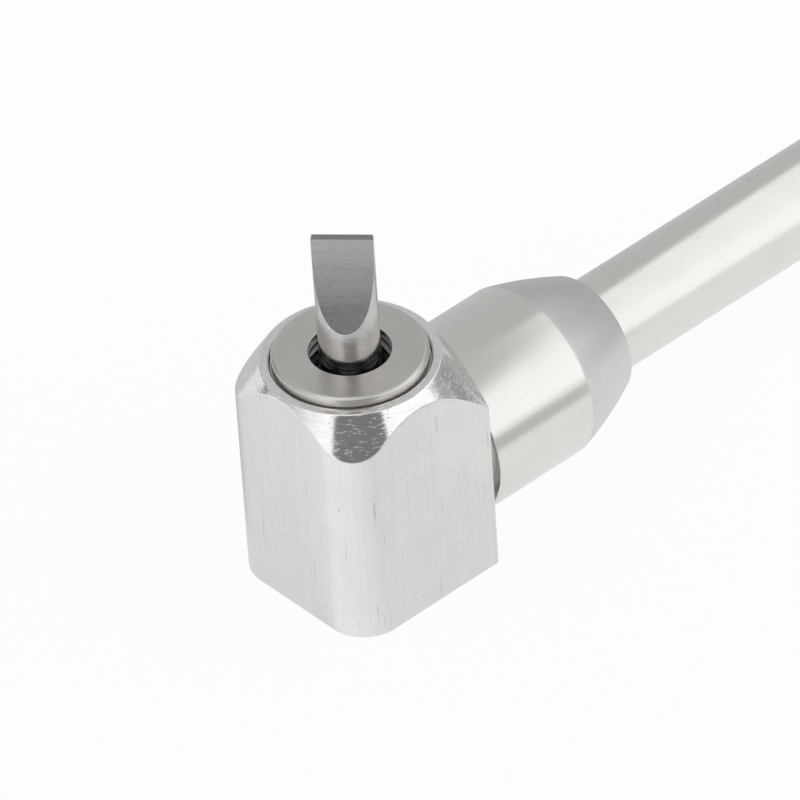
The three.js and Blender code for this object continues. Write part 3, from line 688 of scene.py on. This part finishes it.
# Marks of use. Pits: cells in a metre, the share of cells that hold one, and the depth in metres
FEW_PITS = (1500.0, 0.03, 3e-6)
PIT_LEAST_WIDTH = 0.05
PIT_WIDTH_SPREAD = 0.14
PIT_EDGE = (0.4, 1.1)
PIT_SHADE = 0.4
SCORES_PER_METRE = 4200.0
SCORE_SQUEEZE = (1.0, 1.0, 0.04)
SCORE_EDGE = (0.70, 0.77)
SMUDGES_PER_METRE = 220.0
SMUDGE_ROUGHNESS = 0.55
SMUDGE_EDGE = (0.3, 0.7)


def handling_marks_group():
    """Marks of use: small pits from scattered cells, thin scores from noise drawn out along local Z, and
    soft smudges."""
    tree, given, result = group_tree("handling_marks", [
        ("Vector", VECTOR, None), ("Pit Scale", FLOAT, FEW_PITS[0]), ("Pit Share", FLOAT, FEW_PITS[1])],
        [("Pits", FLOAT), ("Scratches", FLOAT), ("Smudges", FLOAT)])
    vector = given.outputs["Vector"]
    cells = add(tree, "ShaderNodeTexVoronoi", {"Vector": vector, "Scale": given.outputs["Pit Scale"]})
    chosen = add(tree, "ShaderNodeSeparateColor", {0: cells.outputs["Color"]})
    picked = math_node(tree, "LESS_THAN", chosen.outputs[0], given.outputs["Pit Share"])
    width = math_node(tree, "MULTIPLY_ADD", chosen.outputs[1], PIT_WIDTH_SPREAD, PIT_LEAST_WIDTH)
    near = math_node(tree, "DIVIDE", cells.outputs["Distance"], width)
    pits = product(tree, ramp(tree, near, *PIT_EDGE, 1.0, 0.0), picked)
    drawn = add(tree, "ShaderNodeVectorMath", {0: vector, 1: SCORE_SQUEEZE}, operation="MULTIPLY").outputs[0]
    scratches = ramp(tree, soft_noise(tree, drawn, SCORES_PER_METRE, 1.0), *SCORE_EDGE)
    smudge = soft_noise(tree, vector, SMUDGES_PER_METRE, 4.0, SMUDGE_ROUGHNESS)
    tree.links.new(pits, result.inputs["Pits"])
    tree.links.new(scratches, result.inputs["Scratches"])
    tree.links.new(ramp(tree, smudge, *SMUDGE_EDGE), result.inputs["Smudges"])
    return tree


drawn_lines = drawn_lines_group()
lathe_lines = lathe_lines_group()
handling_marks = handling_marks_group()

# Metals: the axis that the lines follow, as a turn and a shift, and what lines and smudges do to the gloss
UPRIGHT = ((0.0, 0.0, 0.0), (0.0, 0.0, 0.0))
ALONG_TUBE = ((0.0, -math.pi / 2, 0.0), (shaft_height * MM, 0.0, 0.0))
LINE_EDGE = (0.3, 0.7)
PLAIN_ROUGHNESS = 0.78
SMUDGED_ROUGHNESS = 0.2
LINED_ROUGHNESS = 0.25


def metal(name, colour, roughness, axis, lines, fineness, line_height, line_tone, pits=FEW_PITS,
          scratch=0.0, smudge=0.04, stretch=LINE_STRETCH, radius_share=1.0, dashes=DASH_SHARE, chatter=0.0):
    """A bare metal whose lines follow an axis. The lines and pits lift and sink the surface, tint the
    colour and vary the roughness; smudges dull it in soft patches. The lines are given as their number in a
    metre, their height in metres and the share by which they tint."""
    material, tree, shader = new_finish(name)
    shader.inputs["Metallic"].default_value = 1.0
    place_on = add(tree, "ShaderNodeTexCoord").outputs["Object"]
    rotation, shift = axis
    local = add(tree, "ShaderNodeMapping", {
        "Vector": place_on, "Rotation": rotation, "Location": shift}).outputs[0]
    pattern = {"Stretch": stretch}
    if lines is lathe_lines:
        pattern = {"Radius Share": radius_share, "Dashes": dashes, "Chatter": chatter}
    grain = add(tree, "ShaderNodeGroup", {"Vector": local, "Fineness": fineness, **pattern}, node_tree=lines)
    pit_scale, pit_share, pit_depth = pits
    marks = add(tree, "ShaderNodeGroup", {
        "Vector": local, "Pit Scale": pit_scale, "Pit Share": pit_share}, node_tree=handling_marks)
    pitting, scores, smudges = (marks.outputs[k] for k in ("Pits", "Scratches", "Smudges"))
    tone = ramp(tree, grain.outputs["Tone"], *LINE_EDGE, 1.0 - line_tone, 1.0 + line_tone, smooth=False)
    dull = math_node(tree, "MULTIPLY_ADD", smudges, -smudge, 1.0 + smudge / 2)
    pitted = math_node(tree, "MULTIPLY_ADD", pitting, -PIT_SHADE, 1.0)
    scored = math_node(tree, "MULTIPLY_ADD", scores, -scratch, 1.0)
    level = product(tree, tone, dull, pitted, scored)
    tinted = add(tree, "ShaderNodeVectorMath", {0: colour, "Scale": level}, operation="SCALE")
    fill(tree, shader.inputs["Base Color"], tinted.outputs[0])
    rough = math_node(
        tree, "MULTIPLY_ADD", smudges, SMUDGED_ROUGHNESS * roughness, PLAIN_ROUGHNESS * roughness)
    rough = math_node(tree, "MULTIPLY_ADD", grain.outputs["Tone"], LINED_ROUGHNESS * roughness, rough)
    rough = math_node(tree, "MULTIPLY_ADD", scores, scratch, rough, clamp=True)
    fill(tree, shader.inputs["Roughness"], rough)
    ridges = add(tree, "ShaderNodeBump", {
        "Strength": 1.0, "Distance": line_height, "Height": grain.outputs["Height"]})
    dents = add(tree, "ShaderNodeBump", {
        "Strength": 1.0, "Distance": pit_depth, "Height": pitting, "Normal": ridges.outputs[0]}, invert=True)
    fill(tree, shader.inputs["Normal"], dents.outputs[0])
    return material


# Nylon: its grain in a metre, the grain's borders, its palest shade and how far its roughness varies
NYLON_GRAIN = 2500.0
NYLON_EDGE = (0.3, 0.7)
NYLON_SHADE = 0.95
NYLON_ROUGHNESS_SPREAD = 0.05


def plain_moulded(name, colour, roughness):
    """A moulded plastic with a faint grain."""
    material, tree, shader = new_finish(name)
    place_on = add(tree, "ShaderNodeTexCoord").outputs["Object"]
    grain = soft_noise(tree, place_on, NYLON_GRAIN, 3.0)
    shade = ramp(tree, grain, *NYLON_EDGE, NYLON_SHADE, 1.0)
    tinted = add(tree, "ShaderNodeVectorMath", {0: colour, "Scale": shade}, operation="SCALE")
    fill(tree, shader.inputs["Base Color"], tinted.outputs[0])
    smoothest, roughest = roughness - NYLON_ROUGHNESS_SPREAD, roughness + NYLON_ROUGHNESS_SPREAD
    fill(tree, shader.inputs["Roughness"], ramp(tree, grain, *NYLON_EDGE, smoothest, roughest))
    return material


# Finishes
extruded_wall = metal(
    "extruded_aluminium", (0.827, 0.82, 0.806), 0.28, UPRIGHT, drawn_lines, 6500.0, 0.4e-6, 0.03,
    pits=(1100.0, 0.03, 6e-6), scratch=0.20, smudge=0.03, stretch=110.0)
turned_top = metal(
    "turned_block_top", (0.91, 0.91, 0.905), 0.12, UPRIGHT, lathe_lines, 4200.0, 6.0e-6, 0.10,
    pits=(1600.0, 0.03, 4e-6), dashes=0.85, chatter=1.2)
collar_finish = metal(
    "turned_collar_aluminium", (0.825, 0.815, 0.79), 0.15, ALONG_TUBE, lathe_lines, 6000.0, 0.25e-6, 0.015,
    smudge=0.02)
taper_finish = metal(
    "turned_taper_aluminium", (0.755, 0.75, 0.735), 0.42, ALONG_TUBE, lathe_lines, 6000.0, 0.25e-6, 0.015,
    smudge=0.02)
tube_finish = metal(
    "drawn_tube_aluminium", (0.835, 0.822, 0.797), 0.19, ALONG_TUBE, drawn_lines, 7000.0, 0.2e-6, 0.02,
    smudge=0.02)
knob_finish = metal(
    "knurled_aluminium", (0.80, 0.80, 0.79), 0.27, ALONG_TUBE, lathe_lines, 7000.0, 0.4e-6, 0.03)
bush_finish = metal(
    "satin_bush_steel", (0.72, 0.70, 0.675), 0.28, UPRIGHT, lathe_lines, 6000.0, 0.5e-6, 0.03,
    pits=(1300.0, 0.05, 8e-6))
neck_finish = metal(
    "turned_neck_steel", (0.63, 0.62, 0.61), 0.18, UPRIGHT, lathe_lines, 5000.0, 2.0e-6, 0.08,
    pits=(1600.0, 0.10, 8e-6), radius_share=0.0, dashes=0.6, chatter=2.5)
blade_finish = metal(
    "ground_blade_steel", (0.475, 0.465, 0.46), 0.34, UPRIGHT, lathe_lines, 5000.0, 1.2e-6, 0.10,
    pits=(1600.0, 0.03, 4e-6), radius_share=0.0, dashes=0.75)
# Painted shade: the blade's ground steel made darker for the level tip face, standing for the shade it shows
tip_painted_shade_steel = metal(
    "ground_tip_steel_painted_shade", (0.38, 0.375, 0.365), 0.32, UPRIGHT, lathe_lines, 6000.0, 0.8e-6, 0.10)
spindle_finish = metal(
    "turned_spindle_steel", (0.30, 0.295, 0.29), 0.34, UPRIGHT, lathe_lines, 7000.0, 0.4e-6, 0.04)
shaft_finish = metal(
    "drawn_shaft_steel", (0.56, 0.55, 0.54), 0.30, ALONG_TUBE, drawn_lines, 7000.0, 0.4e-6, 0.04)
gear_finish = metal(
    "cut_gear_steel", (0.50, 0.50, 0.50), 0.35, UPRIGHT, drawn_lines, 6000.0, 0.4e-6, 0.05)
screw_finish = metal(
    "blackened_steel", (0.10, 0.10, 0.11), 0.42, UPRIGHT, lathe_lines, 8000.0, 0.4e-6, 0.08)
bronze_finish = metal(
    "turned_bronze", (0.62, 0.42, 0.22), 0.32, ALONG_TUBE, lathe_lines, 8000.0, 0.4e-6, 0.06)
magnet_finish = metal(
    "nickel_plate", (0.66, 0.64, 0.60), 0.18, UPRIGHT, lathe_lines, 8000.0, 0.2e-6, 0.03)
nylon_finish = plain_moulded("pale_nylon", (0.80, 0.77, 0.68), 0.5)

# The pieces that show
place(wear_turned_faces(block_body()), "head_and_tube", "head_block", "block_aluminium",
      extruded_wall, turned_top)
place(bush_ring(), "head_and_tube", "spindle_bush", "bush_steel", bush_finish)
place(finish_ground_faces_and_shade_tip(flat_bit()), "screwdriver_bit", "bit", "bit_steel",
      neck_finish, blade_finish, tip_painted_shade_steel, sharp=BLADE_SHARP_ANGLE)
place(wear_taper_faces(collar_body()), "head_and_tube", "collar", "turned_aluminium",
      collar_finish, taper_finish)
place(drawn_tube(), "head_and_tube", "tube", "tube_aluminium", tube_finish)
place(rear_bush_sleeve(), "head_and_tube", "rear_shaft_bush", "bronze", bronze_finish)
place(washer_ring(), "head_and_tube", "knob_washer", "bronze", bronze_finish)
place(knurled_knob(), "knob_and_shaft", "knob", "knob_aluminium", knob_finish)

# The construction solids that stay, with their finishes
KEPT_FINISHES = {
    "spindle": spindle_finish,
    "spindle_thrust_washer": bronze_finish,
    "spindle_pilot_bush": bronze_finish,
    "front_shaft_bush": bronze_finish,
    "front_thrust_washer": bronze_finish,
    "shaft_guide": nylon_finish,
    "drive_shaft": shaft_finish,
    "drive_gear": gear_finish,
    "drive_gear_pin": gear_finish,
    "driven_gear": gear_finish,
    "driven_gear_pin": gear_finish,
    "bit_magnet": magnet_finish,
    "knob_set_screw": screw_finish,
}
for node_name, finish in KEPT_FINISHES.items():
    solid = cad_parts[node_name]
    solid.data.materials.clear()
    solid.data.materials.append(finish)

# Camera, in metres, with the focal length in pixels of the picture
CAMERA_AZIMUTH = math.radians(-40.276)
CAMERA_ELEVATION = math.radians(39.399)
CAMERA_ROLL = math.radians(3.918)
CAMERA_TARGET = Vector((5.514, 0.0, 15.979)) * MM
CAMERA_DISTANCE = 0.98043
CAMERA_CLIP = (0.01, 100.0)
FOCAL_PIXELS = 10761.6
IMAGE_PIXELS = 800
SENSOR_WIDTH = 36.0


def add_camera():
    """A long lens at the photographed angle, rolled a little about the line of sight."""
    data = bpy.data.cameras.new("camera")
    data.sensor_width = SENSOR_WIDTH
    data.lens = SENSOR_WIDTH * FOCAL_PIXELS / IMAGE_PIXELS
    data.clip_start, data.clip_end = CAMERA_CLIP
    camera = new_object("camera", data)
    a, e = CAMERA_AZIMUTH, CAMERA_ELEVATION
    back = Vector((math.sin(a) * math.cos(e), -math.cos(a) * math.cos(e), math.sin(e)))
    right = Vector((math.cos(a), math.sin(a), 0.0))
    up = back.cross(right)
    c, s = math.cos(CAMERA_ROLL), math.sin(CAMERA_ROLL)
    turned_right, turned_up = right * c - up * s, right * s + up * c
    camera.matrix_world = Matrix.Translation(CAMERA_TARGET + back * CAMERA_DISTANCE) @ Matrix((
        turned_right, turned_up, back)).transposed().to_4x4()
    bpy.context.scene.camera = camera
    return back


to_camera = add_camera()

# Tent of light: levels and colours
BACK_LIGHT = 0.54
TOP_LIGHT = 1.06
FRONT_LIGHT = 1.12
OPENING_LIGHT = 0.195
OPENING_BLUE = 1.05
HORIZON_LIGHT = 0.82
LEFT_BACK_LIGHT = 0.5
FAR_END_LIGHT = (0.78, 0.82, 0.84, 1.0)
FAR_BACK_LIGHT = (0.46, 0.455, 0.445, 1.0)
FAR_HORIZON_LIGHT = (0.40, 0.405, 0.42, 1.0)

# Tent of light: where one level passes into the next, as parts of a unit direction
BACK_TO_TOP = (0.62, -0.32)
TOP_TO_FRONT = (-0.2, -0.7)
OPENING_TURN = math.radians(8)
OPENING_SIDES = (0.84, 0.875)
OPENING_TOP = (0.62, 0.82)
HORIZON_TOP = (0.04, 0.12)
HORIZON_SIDE = (0.0, -0.3)
LEFT_BACK = Vector((-0.30, 0.95, 0.0)).normalized()
LEFT_BACK_BORDER = (0.93, 0.985)
FAR_END_BORDER = (0.72, 0.95)
FAR_BACK_BORDER = (0.58, 0.80)
FAR_BACK_SIDE = (-0.42, -0.10)
FAR_HORIZON_BORDER = (0.75, 0.79)
FAR_HORIZON_TOP = (0.10, 0.18)


def add_world():
    """A tent of soft light by direction: greyer behind the object and past the knob, with a dark opening
    round the camera, and plain white where the camera looks straight at it."""
    world = bpy.data.worlds.new("light_tent")
    world.use_nodes = True
    bpy.context.scene.world = world
    tree = world.node_tree
    background = tree.nodes["Background"]
    direction = add(tree, "ShaderNodeTexCoord").outputs["Generated"]
    parts = add(tree, "ShaderNodeSeparateXYZ", {0: direction})
    x, y, z = (parts.outputs[k] for k in "XYZ")
    rise = ramp(tree, y, *BACK_TO_TOP, BACK_LIGHT, TOP_LIGHT)
    front = ramp(tree, y, *TOP_TO_FRONT, 0.0, FRONT_LIGHT - TOP_LIGHT)
    level = math_node(tree, "ADD", rise, front)
    low_front = product(tree, ramp(tree, z, *HORIZON_TOP, 1.0, 0.0), ramp(tree, y, *HORIZON_SIDE))
    horizon = math_node(tree, "MULTIPLY_ADD", low_front, HORIZON_LIGHT - 1.0, 1.0)
    left_back = ramp(tree, reach_along(tree, direction, LEFT_BACK), *LEFT_BACK_BORDER, 1.0, LEFT_BACK_LIGHT)
    level = product(tree, level, horizon, left_back)
    tent = add(tree, "ShaderNodeCombineColor", {0: level, 1: level, 2: level}).outputs[0]
    tent = blended(tree, ramp(tree, x, *FAR_END_BORDER), tent, FAR_END_LIGHT)
    far_back = product(tree, ramp(tree, x, *FAR_BACK_BORDER), ramp(tree, y, *FAR_BACK_SIDE))
    tent = blended(tree, far_back, tent, FAR_BACK_LIGHT)
    far_low = product(tree, ramp(tree, z, *FAR_HORIZON_TOP, 1.0, 0.0), ramp(tree, x, *FAR_HORIZON_BORDER))
    tent = blended(tree, far_low, tent, FAR_HORIZON_LIGHT)
    flat = add(tree, "ShaderNodeCombineXYZ", {"X": x, "Y": y}).outputs[0]
    level_way = add(tree, "ShaderNodeVectorMath", {0: flat}, operation="NORMALIZE").outputs[0]
    facing = Matrix.Rotation(OPENING_TURN, 3, "Z") @ Vector((to_camera.x, to_camera.y, 0)).normalized()
    beside = ramp(tree, reach_along(tree, level_way, facing), *OPENING_SIDES)
    opening = product(tree, beside, ramp(tree, z, *OPENING_TOP, 1.0, 0.0))
    dark = (OPENING_LIGHT, OPENING_LIGHT, OPENING_LIGHT * OPENING_BLUE, 1.0)
    tent = blended(tree, opening, tent, dark)
    seen = add(tree, "ShaderNodeLightPath").outputs["Is Camera Ray"]
    tree.links.new(blended(tree, seen, tent, WHITE), background.inputs["Color"])
    background.inputs["Strength"].default_value = 1.0


add_world()


def open_surface(name):
    """A new material without a surface shader, for the floor and the panel."""
    material, tree, shader = new_finish(name)
    tree.nodes.remove(shader)
    return material, tree, tree.nodes["Material Output"].inputs["Surface"]


def add_stage(name, mesh, material):
    """Puts the floor or the panel in the scene, outside the part."""
    mesh.materials.append(material)
    new_object(name, mesh)


# Floor sheet, in metres
FLOOR_RADIUS = 6.0
FLOOR_MIDDLE = 0.3
FLOOR_COLUMNS = 96
FLOOR_DROP = 0.02 * MM
FLOOR_TONE = 0.9
SHADOW_REACH = (0.03, 0.20)
NEAR_WHITE = 0.94
MIRRORED_SHARE = 0.85

# Floor sheet: its level where metal mirrors it
SIDE_SHEET = 0.82
TUBE_SHEET = 0.88
FRONT_SHEET = 0.98
BACK_SHEET = 0.55
DIM_BACK_SHEET = 0.28
FAR_SHEET = 0.60
FAR_END_SHEET = 0.30

# Floor sheet: where one mirrored level passes into the next, in metres
TUBE_START = (0.010, 0.022)
CORNER_WAY = (-0.763, -0.646, 0.0)
CORNER_SIDE = (0.646, -0.763, 0.0)
CORNER_PLACE = (0.0067, 0.0009)
CORNER_LINE = (0.0093, 0.0105)
CORNER_FADE = (-0.4, 1.4)
RAY_SLOPE = 0.577
COLLAR_RAYS = (0.018, 0.027)
FAR_FLOOR = (-0.036, -0.060)
FAR_END_START = (0.09, 0.20)
FAR_END_SPREAD = 0.5
FAR_END_SIDE = (-0.01, 0.01)
BEHIND_TUBE = (0.007, 0.022)
BEHIND_BLOCK = (-0.014, -0.004)
DIM_BACK = (0.14, 0.28)
DIM_LEFT = (0.0, -0.05)


def mirrored_floor(tree, spot):
    """The floor's level where metal mirrors it, by place: brightest in front of the block's round corner,
    greyer in the distance before the collar and past the knob, and greyest behind the tube."""
    parts = add(tree, "ShaderNodeSeparateXYZ", {0: spot})
    lengthways, sideways = parts.outputs["X"], parts.outputs["Y"]
    ahead, aside = reach_along(tree, spot, CORNER_WAY), reach_along(tree, spot, CORNER_SIDE)
    corner_ahead, corner_aside = CORNER_PLACE
    turn = math_node(tree, "DIVIDE", math_node(tree, "SUBTRACT", aside, corner_aside),
                     math_node(tree, "SUBTRACT", ahead, corner_ahead))
    corner_rise = ramp(tree, turn, *CORNER_FADE, FRONT_SHEET - SIDE_SHEET, 0.0)
    beside = ramp(tree, lengthways, *TUBE_START, SIDE_SHEET, TUBE_SHEET)
    front = math_node(tree, "MULTIPLY_ADD", ramp(tree, ahead, *CORNER_LINE), corner_rise, beside)
    ray_start = math_node(tree, "MULTIPLY_ADD", sideways, RAY_SLOPE, lengthways)
    by_collar = ramp(tree, ray_start, *COLLAR_RAYS, FAR_SHEET - 1.0, 0.0)
    distant = math_node(tree, "MULTIPLY_ADD", ramp(tree, sideways, *FAR_FLOOR), by_collar, 1.0)
    straight_on = math_node(tree, "MULTIPLY_ADD", lengthways, FAR_END_SPREAD, sideways)
    far_end = product(tree, ramp(tree, lengthways, *FAR_END_START), ramp(tree, straight_on, *FAR_END_SIDE))
    past_knob = math_node(tree, "MULTIPLY_ADD", far_end, FAR_END_SHEET - 1.0, 1.0)
    behind_tube = product(tree, ramp(tree, sideways, *BEHIND_TUBE), ramp(tree, lengthways, *BEHIND_BLOCK))
    before_tube = math_node(tree, "SUBTRACT", 1.0, behind_tube)
    near_side = product(tree, front, distant, past_knob, before_tube)
    left_back = reach_along(tree, spot, LEFT_BACK)
    dim = product(tree, ramp(tree, left_back, *DIM_BACK), ramp(tree, lengthways, *DIM_LEFT))
    back_level = math_node(tree, "MULTIPLY_ADD", dim, DIM_BACK_SHEET - BACK_SHEET, BACK_SHEET)
    return math_node(tree, "MULTIPLY_ADD", behind_tube, back_level, near_side)


def add_floor():
    """A wide white sheet just under the object. Near the object it takes part of its light from the tent, so
    that it keeps a soft shadow, and further off it is plain white; from below it is clear."""
    rings = np.array([[0, 0], [FLOOR_MIDDLE, 0], [FLOOR_RADIUS, 0]])
    mesh = skin("floor_sheet", turned(rings / MM, FLOOR_COLUMNS))
    mesh.transform(Matrix.Translation((0, 0, -FLOOR_DROP)))
    if mesh.polygons[0].normal.z < 0:
        mesh.flip_normals()
    material, tree, surface = open_surface("white_floor")
    spot = add(tree, "ShaderNodeTexCoord").outputs["Object"]
    light_path = add(tree, "ShaderNodeLightPath")
    from_camera, from_metal = light_path.outputs["Is Camera Ray"], light_path.outputs["Is Glossy Ray"]
    level = math_node(tree, "MULTIPLY_ADD", mirrored_floor(tree, spot), from_metal, from_camera)
    away = add(tree, "ShaderNodeVectorMath", {0: spot}, operation="LENGTH").outputs["Value"]
    plain = product(tree, ramp(tree, away, *SHADOW_REACH, NEAR_WHITE, 1.0), from_camera)
    share = math_node(tree, "MULTIPLY_ADD", from_metal, MIRRORED_SHARE, plain)
    sheet = add(tree, "ShaderNodeBsdfDiffuse", {"Color": (FLOOR_TONE, FLOOR_TONE, FLOOR_TONE, 1.0)})
    white = add(tree, "ShaderNodeEmission", {"Color": WHITE, "Strength": level})
    lit = add(tree, "ShaderNodeMixShader", {0: share, 1: sheet.outputs[0], 2: white.outputs[0]})
    behind = add(tree, "ShaderNodeNewGeometry").outputs["Backfacing"]
    clear = add(tree, "ShaderNodeBsdfTransparent")
    whole = add(tree, "ShaderNodeMixShader", {0: behind, 1: lit.outputs[0], 2: clear.outputs[0]})
    tree.links.new(whole.outputs[0], surface)
    add_stage("floor_sheet", mesh, material)


add_floor()

# Soft panel, in metres: its corners, its levels, and where the grey passes into the white
PANEL_HEIGHT = 0.11
PANEL_LOW = (-0.03, -0.30)
PANEL_HIGH = (0.17, 0.30)
PANEL_FADE = (0.17, 0.12)
PANEL_GREY = 0.53
PANEL_WHITE = (1.0, 1.10)
PANEL_WHITE_SIDE = (0.0, -0.15)
PANEL_SLOPE = 0.87
PANEL_SHIFT = -0.052
PANEL_BORDER = (-0.007, 0.007)
PANEL_START = (0.070, 0.080)
PANEL_FRONT = (-0.07, -0.11)


def add_soft_panel():
    """A level light panel over the tube that only mirrored rays meet. It is white over the tube and in
    front, and grey over the head and behind, with a soft border that runs along the tube and turns
    across it."""
    left, near = PANEL_LOW
    right, far = PANEL_HIGH
    corners = [(left, near), (right, near), (right, far), (left, far)]
    mesh = bpy.data.meshes.new("soft_panel")
    mesh.from_pydata([(x, y, PANEL_HEIGHT) for x, y in corners], [], [(0, 1, 2, 3)])
    material, tree, surface = open_surface("soft_panel_light")
    parts = add(tree, "ShaderNodeSeparateXYZ", {0: add(tree, "ShaderNodeTexCoord").outputs["Object"]})
    x, y = parts.outputs["X"], parts.outputs["Y"]
    slant = math_node(tree, "SUBTRACT", math_node(tree, "MULTIPLY_ADD", x, PANEL_SLOPE, PANEL_SHIFT), y)
    over_tube = product(tree, ramp(tree, slant, *PANEL_BORDER), ramp(tree, x, *PANEL_START))
    bright = math_node(tree, "MAXIMUM", over_tube, ramp(tree, y, *PANEL_FRONT))
    white = ramp(tree, y, *PANEL_WHITE_SIDE, *PANEL_WHITE)
    rise = math_node(tree, "SUBTRACT", white, PANEL_GREY)
    level = math_node(tree, "MULTIPLY_ADD", bright, rise, PANEL_GREY)
    light = add(tree, "ShaderNodeEmission", {"Color": WHITE, "Strength": level})
    clear = add(tree, "ShaderNodeBsdfTransparent")
    mirrored = add(tree, "ShaderNodeLightPath").outputs["Is Glossy Ray"]
    solid_share = product(tree, mirrored, ramp(tree, x, *PANEL_FADE))
    shown = add(tree, "ShaderNodeMixShader", {0: solid_share, 1: clear.outputs[0], 2: light.outputs[0]})
    tree.links.new(shown.outputs[0], surface)
    add_stage("soft_panel", mesh, material)


add_soft_panel()

bpy.context.scene.view_settings.view_transform = "Standard"
